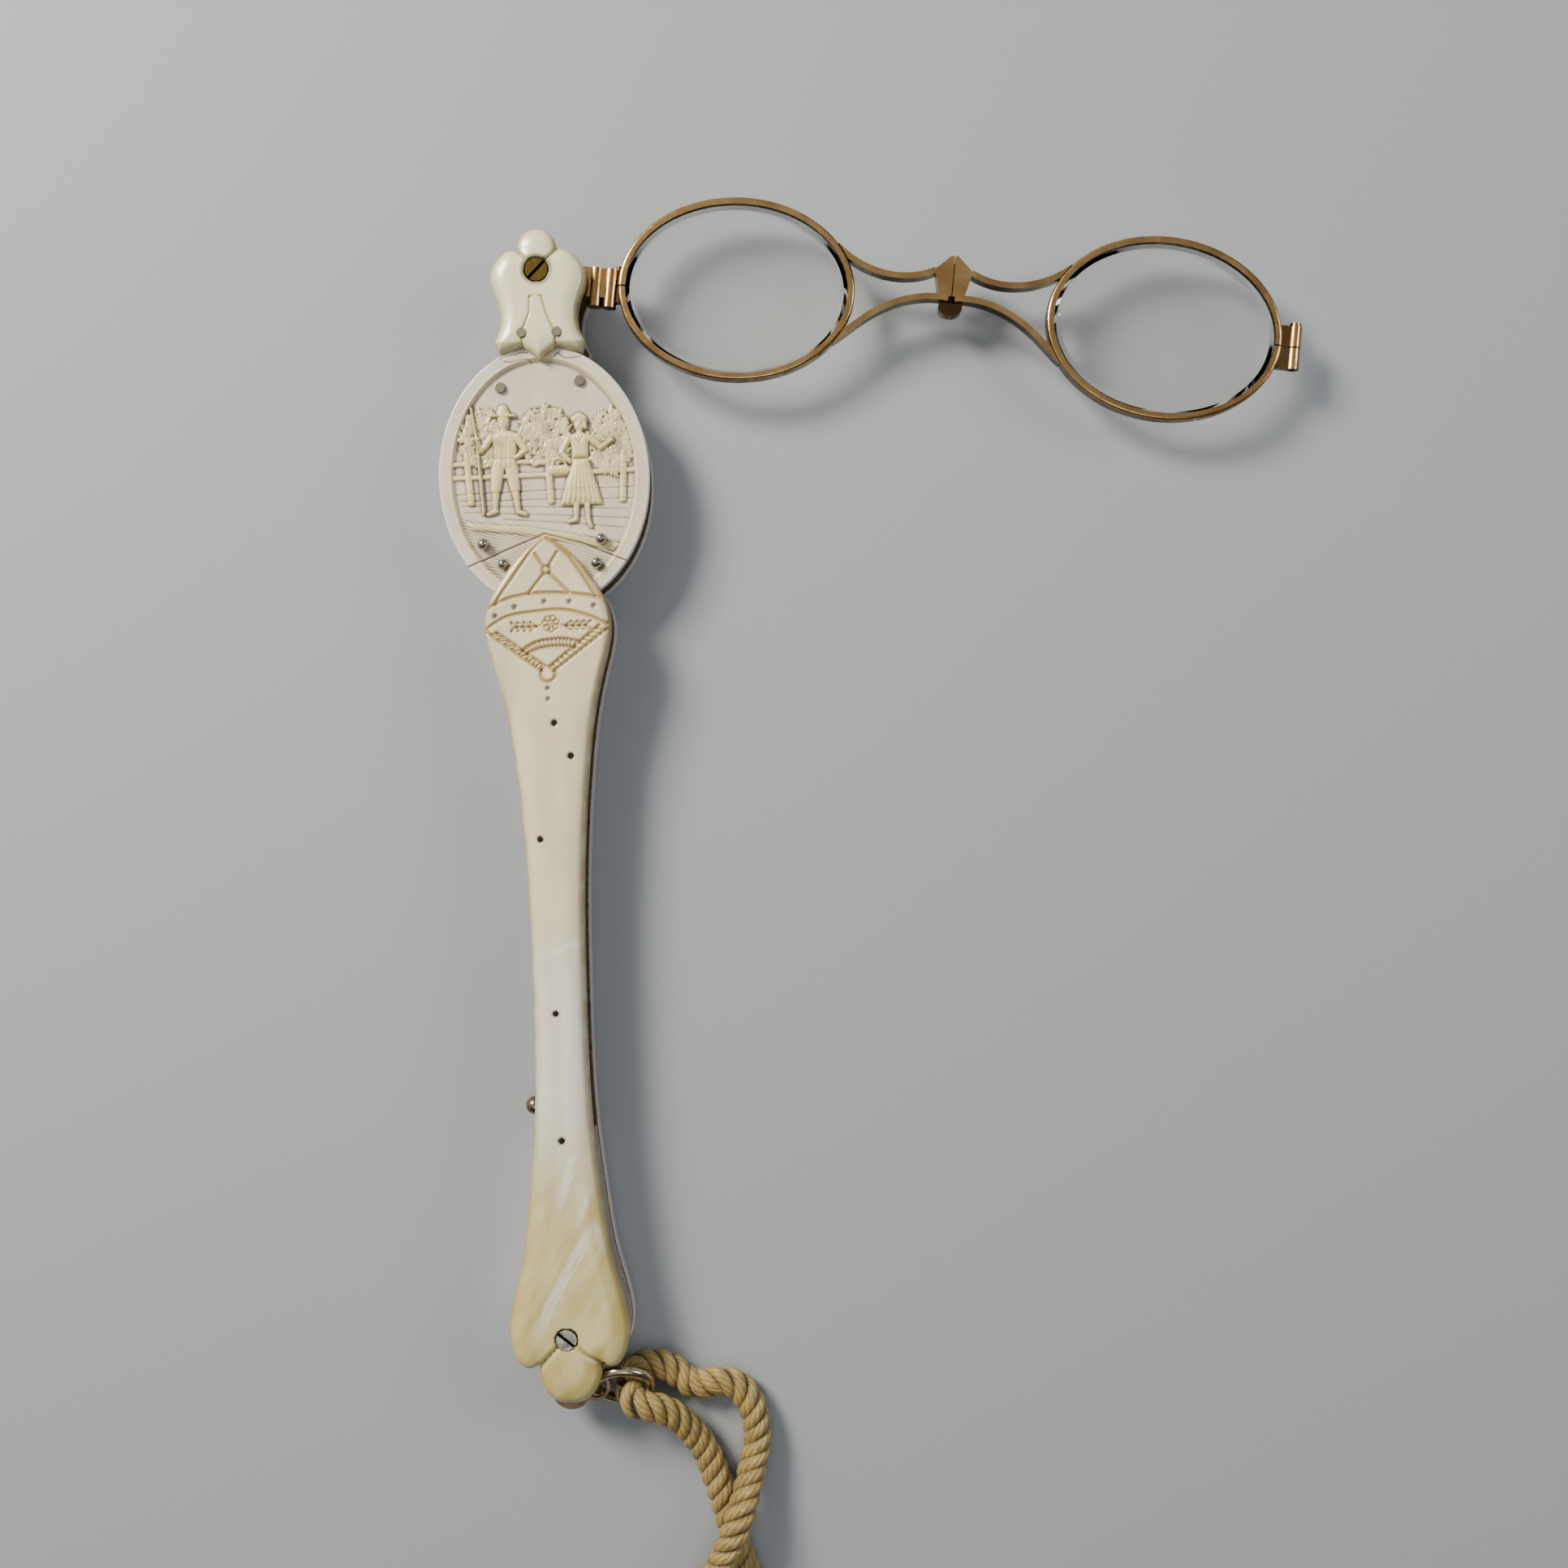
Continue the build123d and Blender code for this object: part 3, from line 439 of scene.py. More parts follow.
def evened(loop, spacing, corner=28.0):
    """The loop through the same points, smooth but for its corners, at an even spacing."""
    before, after = loop - np.roll(loop, 1, 0), np.roll(loop, -1, 0) - loop
    bend = np.degrees(np.abs(np.angle((after @ [1, 1j]) / (before @ [1, 1j]))))
    corners = np.nonzero(bend > corner)[0]
    if len(corners) == 0:
        corners = np.array([0])
    loop = np.roll(loop, -corners[0], 0)
    corners = list(corners - corners[0]) + [len(loop)]
    closed = np.vstack([loop, loop[:1]])
    pieces = []
    for a, b in zip(corners, corners[1:]):
        part = closed[a:b + 1]
        lengths = np.concatenate([[0], np.cumsum(np.linalg.norm(np.diff(part, axis=0), axis=1))])
        if len(corners) == 2:
            wide = np.concatenate([[lengths[0] - (lengths[-1] - lengths[-2])], lengths,
                                   [lengths[-1] + lengths[1]]])
            slopes = np.vstack([part[1:], part[1]]) - np.vstack([part[-2], part[:-1]])
            slopes = slopes / (wide[2:] - wide[:-2])[:, None]
        elif len(part) > 2:
            slopes = np.gradient(part, lengths, axis=0)
        else:
            slopes = np.repeat((part[1:] - part[:1]) / lengths[-1], 2, axis=0)
        where = np.linspace(0, lengths[-1], max(int(lengths[-1] / spacing), 1) + 1)[:-1]
        k = np.clip(np.searchsorted(lengths, where, "right") - 1, 0, len(part) - 2)
        run = lengths[k + 1] - lengths[k]
        t = ((where - lengths[k]) / run)[:, None]
        run = run[:, None]
        pieces.append((2 * t**3 - 3 * t**2 + 1) * part[k] + (t**3 - 2 * t**2 + t) * run * slopes[k]
                      + (3 * t**2 - 2 * t**3) * part[k + 1] + (t**3 - t**2) * run * slopes[k + 1])
    return np.vstack(pieces)


# %% A height map and its tools
class Carving:
    """Heights over a rectangle, in mm, with how creamy and how grimy the surface is."""

    def __init__(self, low, high, step=0.05):
        self.low, self.step = low, step
        self.x, self.y = np.meshgrid(np.arange(low[0], high[0] + step, step),
                                     np.arange(low[1], high[1] + step, step))
        self.height = np.zeros_like(self.x)
        self.cream = np.zeros_like(self.x)
        self.grime = np.zeros_like(self.x)

    def window(self, points, margin):
        """The slices of the grid round some points."""
        points = np.array(points, float)
        low = ((points.min(0) - margin - self.low) / self.step).astype(int)
        high = ((points.max(0) + margin - self.low) / self.step).astype(int) + 2
        return (slice(max(low[1], 0), max(high[1], 0)), slice(max(low[0], 0), max(high[0], 0)))

    def away(self, points, view):
        """Distance to a line through the points, and the share of the way along it."""
        x, y = self.x[view], self.y[view]
        best, share = np.full(x.shape, 1e9), np.zeros(x.shape)
        runs = list(zip(points, points[1:])) or [(points[0], points[0])]
        for i, ((ax, ay), (bx, by)) in enumerate(runs):
            along = (bx - ax) ** 2 + (by - ay) ** 2
            t = np.clip(((x - ax) * (bx - ax) + (y - ay) * (by - ay)) / max(along, 1e-9), 0, 1)
            far = np.hypot(x - ax - t * (bx - ax), y - ay - t * (by - ay))
            nearer = far < best
            best = np.where(nearer, far, best)
            share = np.where(nearer, (i + t) / len(runs), share)
        return best, share

    def groove(self, points, deep, wide, grime=1.0, cream=0.0):
        """A V-shaped cut along a line, with the dirt of years at its bottom."""
        view = self.window(points, 3 * wide)
        far, _ = self.away(points, view)
        cut = np.clip(1 - far / wide, 0, 1)
        self.height[view] -= deep * cut
        self.grime[view] = np.maximum(self.grime[view], grime * cut ** 1.5)
        self.cream[view] = np.maximum(self.cream[view], cream * np.clip(1.6 - far / wide, 0, 1))

    def dimple(self, x, y, radius, deep, grime=0.8):
        view = self.window([(x, y)], 2 * radius)
        far = np.hypot(self.x[view] - x, self.y[view] - y) / radius
        self.height[view] -= deep * np.sqrt(np.clip(1 - far**2, 0, 1))
        self.grime[view] = np.maximum(self.grime[view], grime * np.clip(1.25 - far, 0, 1))

    def seat(self, x, y, radius, level, ring, wide, share=1.0, peak=1.0):
        """A flat round floor at that level, or none without a radius, with a ring of dirt."""
        far = np.hypot(self.x - x, self.y - y)
        if radius:
            self.height = np.where(far < radius, level, self.height)
        dirt = np.clip(peak - np.abs(far - ring) / wide, 0, 1) * share
        self.grime = np.maximum(self.grime, dirt)

    def limb(self, points, radii, level, high, cream=1.0):
        """A rounded form along a line, such as an arm, that stands up from level by high."""
        view = self.window(points, max(radii) + 0.1)
        far, share = self.away(points, view)
        radius = np.interp(share, np.linspace(0, 1, len(radii)), radii)
        dome = np.sqrt(np.clip(1 - (far / radius) ** 2, 0, 1))
        top = level + high * dome ** 0.7
        inside = far < radius
        self.height[view] = np.where(inside, np.maximum(self.height[view], top), self.height[view])
        self.cream[view] = np.where(inside, cream, self.cream[view])

    def inside_of(self, points, view):
        """How far the grid points lie inside a closed outline, negative outside."""
        far, _ = self.away(list(points) + [points[0]], view)
        x, y = self.x[view], self.y[view]
        odd = np.zeros(x.shape, bool)
        for (ax, ay), (bx, by) in zip(points, points[1:] + points[:1]):
            if ay != by:
                odd ^= ((ay > y) != (by > y)) & (x < (bx - ax) * (y - ay) / (by - ay) + ax)
        return np.where(odd, far, -far)

    def shape(self, points, level, high, soft=0.35, cream=1.0, folds=0, fold_deep=0.0):
        """A flat form with softly rounded edges, on which folds may fan out from its top."""
        view = self.window(points, 0.2)
        deep = self.inside_of(points, view)
        dome = np.sqrt(np.clip(1 - (1 - np.clip(deep / soft, 0, 1)) ** 2, 0, 1))
        top = level + high * dome
        if folds:
            x, y = self.x[view], self.y[view]
            ys = [p[1] for p in points]
            down = np.clip((max(ys) - y) / (max(ys) - min(ys)), 0.02, 1)
            left = np.interp(-y, *zip(*sorted((-p[1], p[0]) for p in points if p[0] < np.mean(
                [q[0] for q in points]))))
            right = np.interp(-y, *zip(*sorted((-p[1], p[0]) for p in points if p[0] >= np.mean(
                [q[0] for q in points]))))
            across = (x - left) / np.maximum(right - left, 0.1)
            top -= fold_deep * down * (0.5 + 0.5 * np.cos(across * folds * math.tau)) * dome
        inside = deep > 0
        self.height[view] = np.where(inside, np.maximum(self.height[view], top), self.height[view])
        self.cream[view] = np.where(inside, cream, self.cream[view])

    def smoothed(self, values, radius):
        """Values blurred with a Gaussian of that radius."""
        reach = int(2.5 * radius / self.step)
        offsets = np.arange(-reach, reach + 1)
        weights = np.exp(-0.5 * (offsets * self.step / radius) ** 2)
        weights /= weights.sum()
        for axis in (0, 1):
            values = sum(w * np.roll(values, o, axis) for o, w in zip(offsets, weights))
        return values

    def settle_grime(self, radius=0.22, gain=5.0):
        """Dirt gathers where the surface lies lower than its surroundings."""
        sunk = self.smoothed(self.height, radius) - self.height
        self.grime = np.clip(self.grime + np.clip(sunk * gain - 0.12, 0, 1), 0, 1)

    def at(self, values, x, y):
        """Values of the map at any points."""
        u = np.clip((x - self.low[0]) / self.step, 0, self.x.shape[1] - 1.001)
        v = np.clip((y - self.low[1]) / self.step, 0, self.x.shape[0] - 1.001)
        i, j = u.astype(int), v.astype(int)
        u, v = u - i, v - j
        return ((1 - v) * ((1 - u) * values[j, i] + u * values[j, i + 1])
                + v * ((1 - u) * values[j + 1, i] + u * values[j + 1, i + 1]))


# %% From a height map to a closed plate
def edge_distance(loop, points):
    """Distance of each point to a closed loop."""
    tree = kdtree.KDTree(len(loop))
    for i, (x, y) in enumerate(loop):
        tree.insert((x, y, 0), i)
    tree.balance()
    near = np.array([tree.find((x, y, 0))[1] for x, y in points])
    best = np.full(len(points), 1e9)
    for step in (-1, 0):
        a, b = loop[(near + step) % len(loop)], loop[(near + step + 1) % len(loop)]
        squared = np.maximum(np.sum((b - a) ** 2, 1), 1e-12)
        t = np.clip(np.sum((points - a) * (b - a), 1) / squared, 0, 1)
        best = np.minimum(best, np.linalg.norm(points - a - t[:, None] * (b - a), axis=1))
    return best


def inside_points(loop, spacing):
    """Points of a staggered grid that lie inside the loop."""
    found = []
    following = np.roll(loop, -1, 0)
    rows = np.arange(loop[:, 1].min() + spacing / 2, loop[:, 1].max(), spacing * 0.87)
    for row, y in enumerate(rows):
        crosses = (loop[:, 1] > y) != (following[:, 1] > y)
        a, b = loop[crosses], following[crosses]
        xs = np.sort(a[:, 0] + (y - a[:, 1]) / (b[:, 1] - a[:, 1]) * (b[:, 0] - a[:, 0]))
        for left, right in zip(xs[::2], xs[1::2]):
            shift = spacing / 2 * (row % 2)
            x = np.arange(math.ceil(left / spacing) * spacing + shift, right, spacing)
            found.append(np.column_stack([x, np.full(len(x), y)]))
    return np.vstack(found)


def carved_plate(name, loop, low, top, carving, edge_round, spacing,
                 crown=None, fine=None, under=False):
    """A closed plate inside the loop, from low up to top, carved and with a rounded upper edge.

    fine is (y, spacing): above that y the grid has the smaller spacing. With under the plate is
    turned over, so that its carved and rounded side is at low.
    """
    loop = evened(loop, 0.12)
    grid = inside_points(loop, spacing)
    if fine:
        grid = grid[grid[:, 1] < fine[0]]
        close = inside_points(loop, fine[1])
        grid = np.vstack([grid, close[close[:, 1] >= fine[0]]])
    normal = np.roll(loop, -1, 0) - np.roll(loop, 1, 0)
    length = np.linalg.norm(normal, axis=1)[:, None]
    normal = np.column_stack([-normal[:, 1], normal[:, 0]]) / length
    rings = [loop]
    for share in (0.06, 0.17, 0.33, 0.55, 0.8):
        ring = loop + normal * edge_round * share
        rings.append(ring[edge_distance(loop, ring) > 0.93 * edge_round * share])
    far = edge_distance(loop, grid)
    rings.append(grid[far > max(edge_round * 0.8 + 0.05, 0.1)])
    flat = np.vstack(rings)
    whole = [list(range(len(loop)))]
    found = geometry.delaunay_2d_cdt([Vector(p) for p in flat], [], whole, 1, 1e-7)
    points = np.array([tuple(v) for v in found[0]])
    faces = found[2]
    far = edge_distance(loop, points)
    inward = np.clip(edge_round - far, 0, None)
    drop = edge_round - np.sqrt(np.clip(edge_round**2 - inward ** 2, 0, None))
    x, y = points[:, 0], points[:, 1]
    z = top - np.where(far < edge_round, drop, 0) + carving.at(carving.height, x, y)
    if crown is not None:
        z = z - crown(x, y, far)
    z = np.clip(z, low + 0.15, None)
    count = len(points)
    made_from = {source: i for i, sources in enumerate(found[3]) for source in sources}
    rim = [made_from[k] for k in range(len(loop))]
    foot = list(range(count, count + len(rim)))
    verts = np.vstack([np.column_stack([points, z]),
                       np.column_stack([loop, np.full(len(loop), low)])]) * MM
    walls = []
    for k in range(len(rim)):
        n = (k + 1) % len(rim)
        walls.append((rim[k], foot[k], foot[n], rim[n]))
    back = geometry.delaunay_2d_cdt([Vector(p) for p in loop], [], whole, 1, 1e-7)[2]
    faces = [tuple(f) for f in faces] + walls + [tuple(foot[i] for i in reversed(f)) for f in back]
    if under:
        verts[:, 2] = (low + top) * MM - verts[:, 2]
        faces = [tuple(reversed(f)) for f in faces]
    mesh = bpy.data.meshes.new(name)
    mesh.from_pydata(verts.tolist(), [], faces)
    mesh.polygons.foreach_set("use_smooth", [True] * len(faces))
    lower = np.zeros(len(loop))
    for label, values in (
            ("cream", carving.at(carving.cream, x, y)),
            ("grime", carving.at(carving.grime, x, y)),
            ("rimward", np.clip(1 - far / 1.6, 0, 1))):
        layer = mesh.attributes.new(label, "FLOAT", "POINT")
        layer.data.foreach_set("value", np.concatenate(
            [values, lower + (1 if label == "rimward" else 0)]).astype(np.float32))
    sharp = mesh.attributes.new("sharp_edge", "BOOLEAN", "EDGE")
    hard = {tuple(sorted(pair)) for k in range(len(rim)) for pair in
            ((foot[k], foot[(k + 1) % len(rim)]), (rim[k], rim[(k + 1) % len(rim)]))}
    sharp.data.foreach_set("value", [tuple(sorted(e.vertices)) in hard for e in mesh.edges])
    made = bpy.data.objects.new(name, mesh)
    bpy.context.collection.objects.link(made)
    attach(made, "handle")
    print(name, len(mesh.vertices), "vertices,", sum(len(f) - 2 for f in faces), "triangles")
    return made


# %% [markdown]
# ## Mother-of-pearl
# Nacre is thousands of thin layers of aragonite. It is milky and a little translucent, with a
# soft satin gloss and pale pink and green lights from interference in the layers, which are
# mixed into its colour in soft bands. Where the layers are cut at an angle, their sheen is
# painted in as white streaks.
# Age turns it creamy at the rims and in carved places, and dirt stays in the cuts.


# %% Shell finishes
def shell(name, base, second, carved, rim, film=0.35, streaks=None):
    """Mother-of-pearl with two ground tones, the tone of carved places and the tone of its rims."""
    material, tree, surface = finish(name, IOR=1.56, Roughness=0.3, Coat_Weight=0.55,
                                     Coat_Roughness=0.09, Subsurface_Weight=0.12,
                                     Subsurface_Scale=0.8 * MM)
    surface.inputs["Subsurface Radius"].default_value = (1.0, 0.85, 0.65)
    place = add(tree, "ShaderNodeTexCoord").outputs["Object"]
    clouds = noise(tree, place, 5.0, 2.0, 0.5, long=2.2)
    bands = noise(tree, place, 2.2, 3.0, 0.5, long=6, turn=0.5)
    layers = noise(tree, place, 0.5, 2.0, 0.6, long=10, turn=0.35)
    colour = blend_colours(tree, between(tree, clouds, 0.38, 0.62), linear(base), linear(second))
    pink = blend_colours(tree, between(tree, bands, 0.42, 0.62),
                         linear("#F0DCD6"), linear("#DDE9E2"))
    colour = blend_colours(tree, film, colour, pink, "MULTIPLY")
    if streaks:
        colour, shine = streaks(tree, place, colour)
        tree.links.new(shine, surface.inputs["Roughness"])
    cream = mesh_value(tree, "cream")
    grime = mesh_value(tree, "grime")
    rimward = mesh_value(tree, "rimward")
    colour = blend_colours(tree, sum_of(tree, "MULTIPLY", cream, 0.8), colour, linear(carved))
    patchy = noise(tree, place, 3.0, 4.0)
    edge = sum_of(tree, "MULTIPLY", sum_of(tree, "POWER", rimward, 2.5),
                  between(tree, patchy, 0.3, 0.6, 0.5, 0.95))
    colour = blend_colours(tree, edge, colour, linear(rim))
    dirt = sum_of(tree, "MULTIPLY", grime, between(tree, patchy, 0.3, 0.65, 0.65, 1.0))
    colour = blend_colours(tree, dirt, colour, linear("#5A4526"))
    tree.links.new(colour, surface.inputs["Base Color"])
    bump(tree, surface, layers, 0.012)
    return material


def near_line(tree, place, start, end, half_width, ragged):
    """1 on the line from start to end (mm), falling to 0 at half_width, with a ragged edge."""
    run = Vector((end[0] - start[0], end[1] - start[1], 0)).normalized()
    parts = axes_of(tree, place)
    flat = add(tree, "ShaderNodeCombineXYZ", {0: parts[0], 1: parts[1], 2: 0.0}).outputs[0]
    offset = add(tree, "ShaderNodeVectorMath", {
        0: flat, 1: (start[0] * MM, start[1] * MM, 0)}, operation="SUBTRACT").outputs[0]
    aside, along = [add(tree, "ShaderNodeVectorMath", {0: offset, 1: axis}, operation="DOT_PRODUCT")
                    .outputs["Value"] for axis in ((run.y, -run.x, 0), (run.x, run.y, 0))]
    aside = sum_of(tree, "ADD", aside, between(tree, ragged, 0.3, 0.7, -0.5 * half_width * MM,
                                               0.5 * half_width * MM))
    aside = size_of(tree, aside)
    long = math.dist(start, end)
    on_line = between(tree, aside, 0.35 * half_width * MM, half_width * MM, 1.0, 0.0)
    begun = between(tree, along, -1.0 * MM, 1.0 * MM)
    ended = between(tree, along, (long - 3) * MM, (long + 3) * MM, 1.0, 0.0)
    return sum_of(tree, "MULTIPLY", on_line, sum_of(tree, "MULTIPLY", begun, ended))


def chatoyant(tree, place, colour):
    """The handle's lower half in cooler and olive tones, with white streaks painted in as the sheen
    of shell layers cut aslant.
    """
    parts = axes_of(tree, place)
    lower = between(tree, parts[1], -64 * MM, -72 * MM)
    tail = between(tree, parts[1], -88 * MM, -106 * MM)
    upright = noise(tree, place, 1.8, 3.0, 0.55, long=12)
    slanting = noise(tree, place, 2.6, 3.0, 0.5, long=5, turn=-0.5)
    fine = noise(tree, place, 0.5, 3.0, 0.6, long=9, turn=-0.5)
    cool = blend_colours(tree, between(tree, upright, 0.42, 0.6),
                         linear("#E6EADA"), linear("#EAD9CC"))
    colour = blend_colours(tree, sum_of(tree, "MULTIPLY", lower, 0.8), colour, cool)
    olive = blend_colours(tree, between(tree, slanting, 0.4, 0.62),
                          linear("#C2AE66"), linear("#D6C88C"))
    colour = blend_colours(tree, tail, colour, olive)
    sheen_streaks = between(tree, parts[1], 0, 1, 0.0, 0.0)
    # Painted sheen: white streaks along these lines stand for the shine of the slanting layers.
    for start, end, half_width in (
            ((3.3, -106.8), (-4.2, -120.7), 1.1), ((3.6, -101.5), (2.0, -105.5), 0.8),
            ((4.0, -106.0), (5.3, -109.5), 0.7), ((3.6, -66.2), (-2.2, -67.9), 0.8),
            ((1.5, -96.0), (-0.6, -103.0), 0.8)):
        streak = near_line(tree, place, start, end, half_width, fine)
        sheen_streaks = add(tree, "ShaderNodeMath", {0: sheen_streaks, 1: streak}, operation="MAXIMUM").outputs[0]
    sheen_streaks = sum_of(tree, "MULTIPLY", sheen_streaks, between(tree, fine, 0.3, 0.6, 0.6, 1.0))
    colour = blend_colours(tree, sum_of(tree, "MULTIPLY", sheen_streaks, 0.5), colour, linear("#EFF3EC"))
    return colour, between(tree, sheen_streaks, 0, 1, 0.3, 0.16)


case_shell = shell("carved oyster shell", "#E6D9BE", "#D9CBB6", "#F0DC94", "#E4E0D6", film=0.18)
handle_shell = shell("polished oyster shell", "#F5E8BE", "#EADBB6", "#C9AC66", "#94752F",
                     streaks=chatoyant)
head_shell = shell("ivory-white oyster shell", "#F0EAB8", "#F0E7C2", "#DCC97C", "#8F7C48",
                   film=0.12)
back_shell = shell("plain oyster shell", "#E9E0D8", "#DDD0CC", "#E9E0D8", "#E2D8D0")
print("shell finishes: 4")

# %% [markdown]
# ## The head plate
# The head is a tulip-shaped plate: a round petal over two lobes, with the pivot screw between
# them, and a tongue below that two flat pins hold. The petal, the lobes and the tongue are
# parted by fine cuts, and each is filed to a soft pillow.

# %% Carve the head
front_z, case_top, handle_top, head_top = 7.7, 9.0, 10.6, 10.8
pivot_y = 29.0
head_pins_at = ((-2.3, 20.1), (2.65, 20.1))
head_loop = outline_of("front_head_plate", front_z)
head = Carving((-8, 14.5), (8, 36.5), 0.04)
for side in (-1, 1):
    head.groove([(side * 2.95, pivot_y + 3.15), (side * 2.1, pivot_y + 2.2),
                 (side * 1.2, pivot_y + 1.3)], 0.5, 0.34, 0.9, 0.6)
    tongue = [(side * 0.85 - 0.2, 25.15), (side * 1.15 + 0.05 * side, 22.8), (side * 2.0, 20.9),
              (side * 2.45, 19.8), (side * 2.2, 18.0)]
    head.groove(tongue, 0.26, 0.2, 0.8, 0.9)
    head.groove([(side * 0.85 - 0.2, 25.15), (side * 0.35 - 0.2, 25.3)], 0.18, 0.17, 0.6, 0.9)
head.seat(0.0, pivot_y, 1.78, -1.6, 1.75, 0.5, 0.9, peak=1.5)
foot = np.clip((18.8 - head.y) / 1.2, 0, 1) * np.clip((np.abs(head.x) - 1.6) / 1.2, 0, 1)
head.height -= 0.5 * foot
head.height -= 0.25 * np.clip((np.abs(head.x) - 3.2) / 3.4, 0, 1) ** 2
for x, y in head_pins_at:
    head.seat(x, y, 0.64, -0.12, 0.66, 0.16)


def head_crown(x, y, far):
    """The plate is filed down softly towards its edge."""
    return 0.75 * np.clip(1 - far / 2.6, 0, 1) ** 2


head_plate = carved_plate("head_shell_plate", head_loop, front_z, head_top, head, 0.65, 0.13,
                          crown=head_crown)
head_plate.data.materials.append(head_shell)
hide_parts("front_head_plate")

# %% [markdown]
# ## The oval's carved picture
# The oval shows a country scene of a kind that shell carvers have cut for two centuries: a man
# with a staff and a woman with a basket before a fence and trees. It is drawn here from plain
# rounded limbs and flat forms in the carver's order: the ground is sunk first, then trees,
# fence, clothes, limbs and heads stand up from it.

# %% Sink the ground
ground = Carving((-15.4, -19.1), (15.4, 19.1), 0.05)
inner = np.hypot(ground.x / 13.25, ground.y / 17.0)
sunk = np.clip((1.0 - inner) * 14 / 0.5, 0, 1)
ground.height = -0.5 * sunk
picture = inner < 0.995
line = np.abs(inner - 1.0) * 14
ground.cream = np.maximum(ground.cream, np.clip(1 - line / 0.28, 0, 1))
ground.height += 0.05 * np.clip(1 - line / 0.22, 0, 1)
rng = np.random.default_rng(7)


def leaves(region, count, size, level, high):
    """Small pointed leaves, cut one beside another over a region of the picture."""
    (cx, cy), (rx, ry) = region
    for _ in range(count):
        spread, turn = math.sqrt(rng.random()), rng.random() * math.tau
        x, y = cx + rx * spread * math.cos(turn), cy + ry * spread * math.sin(turn)
        if math.hypot(x / 12.9, y / 16.6) > 1:
            continue
        lean = rng.normal(math.pi / 2, 0.8)
        long = size * (0.7 + 0.6 * rng.random())
        tip = (x + long * math.cos(lean), y + long * math.sin(lean))
        ground.limb([(x, y), tip], [long * 0.36, long * 0.12],
                    level + 0.1 * rng.random(), high, 0.75)


def darkened(region, share):
    """Old dirt that the brush never reached, among the leaves."""
    (cx, cy), (rx, ry) = region
    far = np.hypot((ground.x - cx) / rx, (ground.y - cy) / ry)
    clumps = ground.smoothed(rng.normal(0, 1, ground.x.shape), 0.35)
    clumps = np.clip(0.5 + clumps / (3 * clumps.std()), 0, 1)
    old_dirt = share * clumps * np.clip(1.6 - 1.3 * far, 0, 1) * picture
    ground.grime = np.maximum(ground.grime, old_dirt)


low = -0.5
leaves(((-8.6, 5.6), (3.4, 3.9)), 420, 0.75, low, 0.26)
leaves(((0.3, 5.6), (3.6, 4.2)), 520, 0.75, low + 0.04, 0.3)
leaves(((9.6, 4.6), (3.0, 4.6)), 380, 0.75, low, 0.24)
print("picture grid", ground.x.shape, "deepest", round(float(ground.height.min()), 2), "mm")

# %% Fence, wall and ground lines
for rail in ([(-12.9, 2.1), (-6, 2.35), (0.5, 2.2), (12.9, 2.7)],
             [(-12.9, 0.2), (0.5, 0.35), (12.9, 0.75)]):
    ground.limb(rail, [0.36, 0.36], low, 0.3, 0.9)
for x, y, lean in ((-11.0, 3.4, 0.5), (0.55, 4.0, 0.35), (11.4, 3.3, -0.3)):
    post = [(x, y), (x + lean * 0.4, 0.5), (x + lean, -3.4)]
    ground.limb(post, [0.42, 0.48, 0.5], low, 0.42, 0.9)
for y, left, right, tilt in (
        (-1.9, -12.6, 12.6, 0.25), (-3.2, -12.2, 12.4, -0.1), (-4.3, -11.8, 12.0, -0.5),
        (-5.4, -11.4, 11.8, -0.7), (-6.6, -6.0, 11.0, -0.8)):
    furrow = [(left, y - tilt), ((left + right) / 2, y + 0.08), (right, y + tilt)]
    ground.groove(furrow, 0.12, 0.13, 0.55, 0.3)
for x in np.arange(6.8, 12.0, 0.42):
    ground.groove([(x, 0.1), (x + 0.12, -1.2)], 0.09, 0.1, 0.3, 0.8)
ground.shape([(-11.2, -6.2), (-3.0, -6.9), (4.0, -8.2), (10.6, -9.8), (9.6, -10.7), (2.5, -9.1),
              (-4.5, -7.9), (-10.4, -7.3)], low, 0.3, 0.5, 0.7)
below = np.clip((-7.3 - 0.16 * ground.x - ground.y) / 0.4, 0, 1) * picture
reeds = np.sin((ground.y * 1.0 + 0.34 * ground.x) * 15 + 1.3 * np.sin(ground.x * 1.3))
fade = 0.5 + 0.5 * np.sin(ground.x * 0.9 + ground.y * 0.35)
ground.height += 0.055 * reeds * below
ground.grime = np.maximum(ground.grime, np.clip(-reeds, 0, 1) * below * (0.25 + 0.45 * fade))

# %% The man with the staff
level = -0.42
man_coat = [(-7.55, 6.2), (-6.3, 6.75), (-4.7, 6.75), (-3.5, 6.2), (-3.75, 4.4), (-3.95, 2.7),
            (-3.5, 1.1), (-7.6, 1.1), (-7.1, 2.7), (-7.2, 4.4)]
for line, radii, high in (
        ([(-6.6, 1.2), (-6.95, -1.5)], [0.95, 0.72], 0.55),
        ([(-4.6, 1.2), (-4.2, -1.5)], [0.95, 0.72], 0.5),
        ([(-6.95, -1.6), (-7.1, -4.4)], [0.56, 0.34], 0.45),
        ([(-4.2, -1.6), (-3.85, -4.5)], [0.56, 0.34], 0.45),
        ([(-7.0, -4.7), (-8.1, -5.05)], [0.36, 0.3], 0.42),
        ([(-3.85, -4.8), (-2.8, -5.2)], [0.36, 0.3], 0.42)):
    ground.limb(line, radii, level, high)
ground.shape(man_coat, level, 0.62, 0.9, 1.0, 5, 0.12)
ground.groove([(-5.6, 6.3), (-5.55, 1.2)], 0.09, 0.1, 0.35)
ground.groove([(-7.15, 2.75), (-3.95, 2.75)], 0.1, 0.11, 0.35)
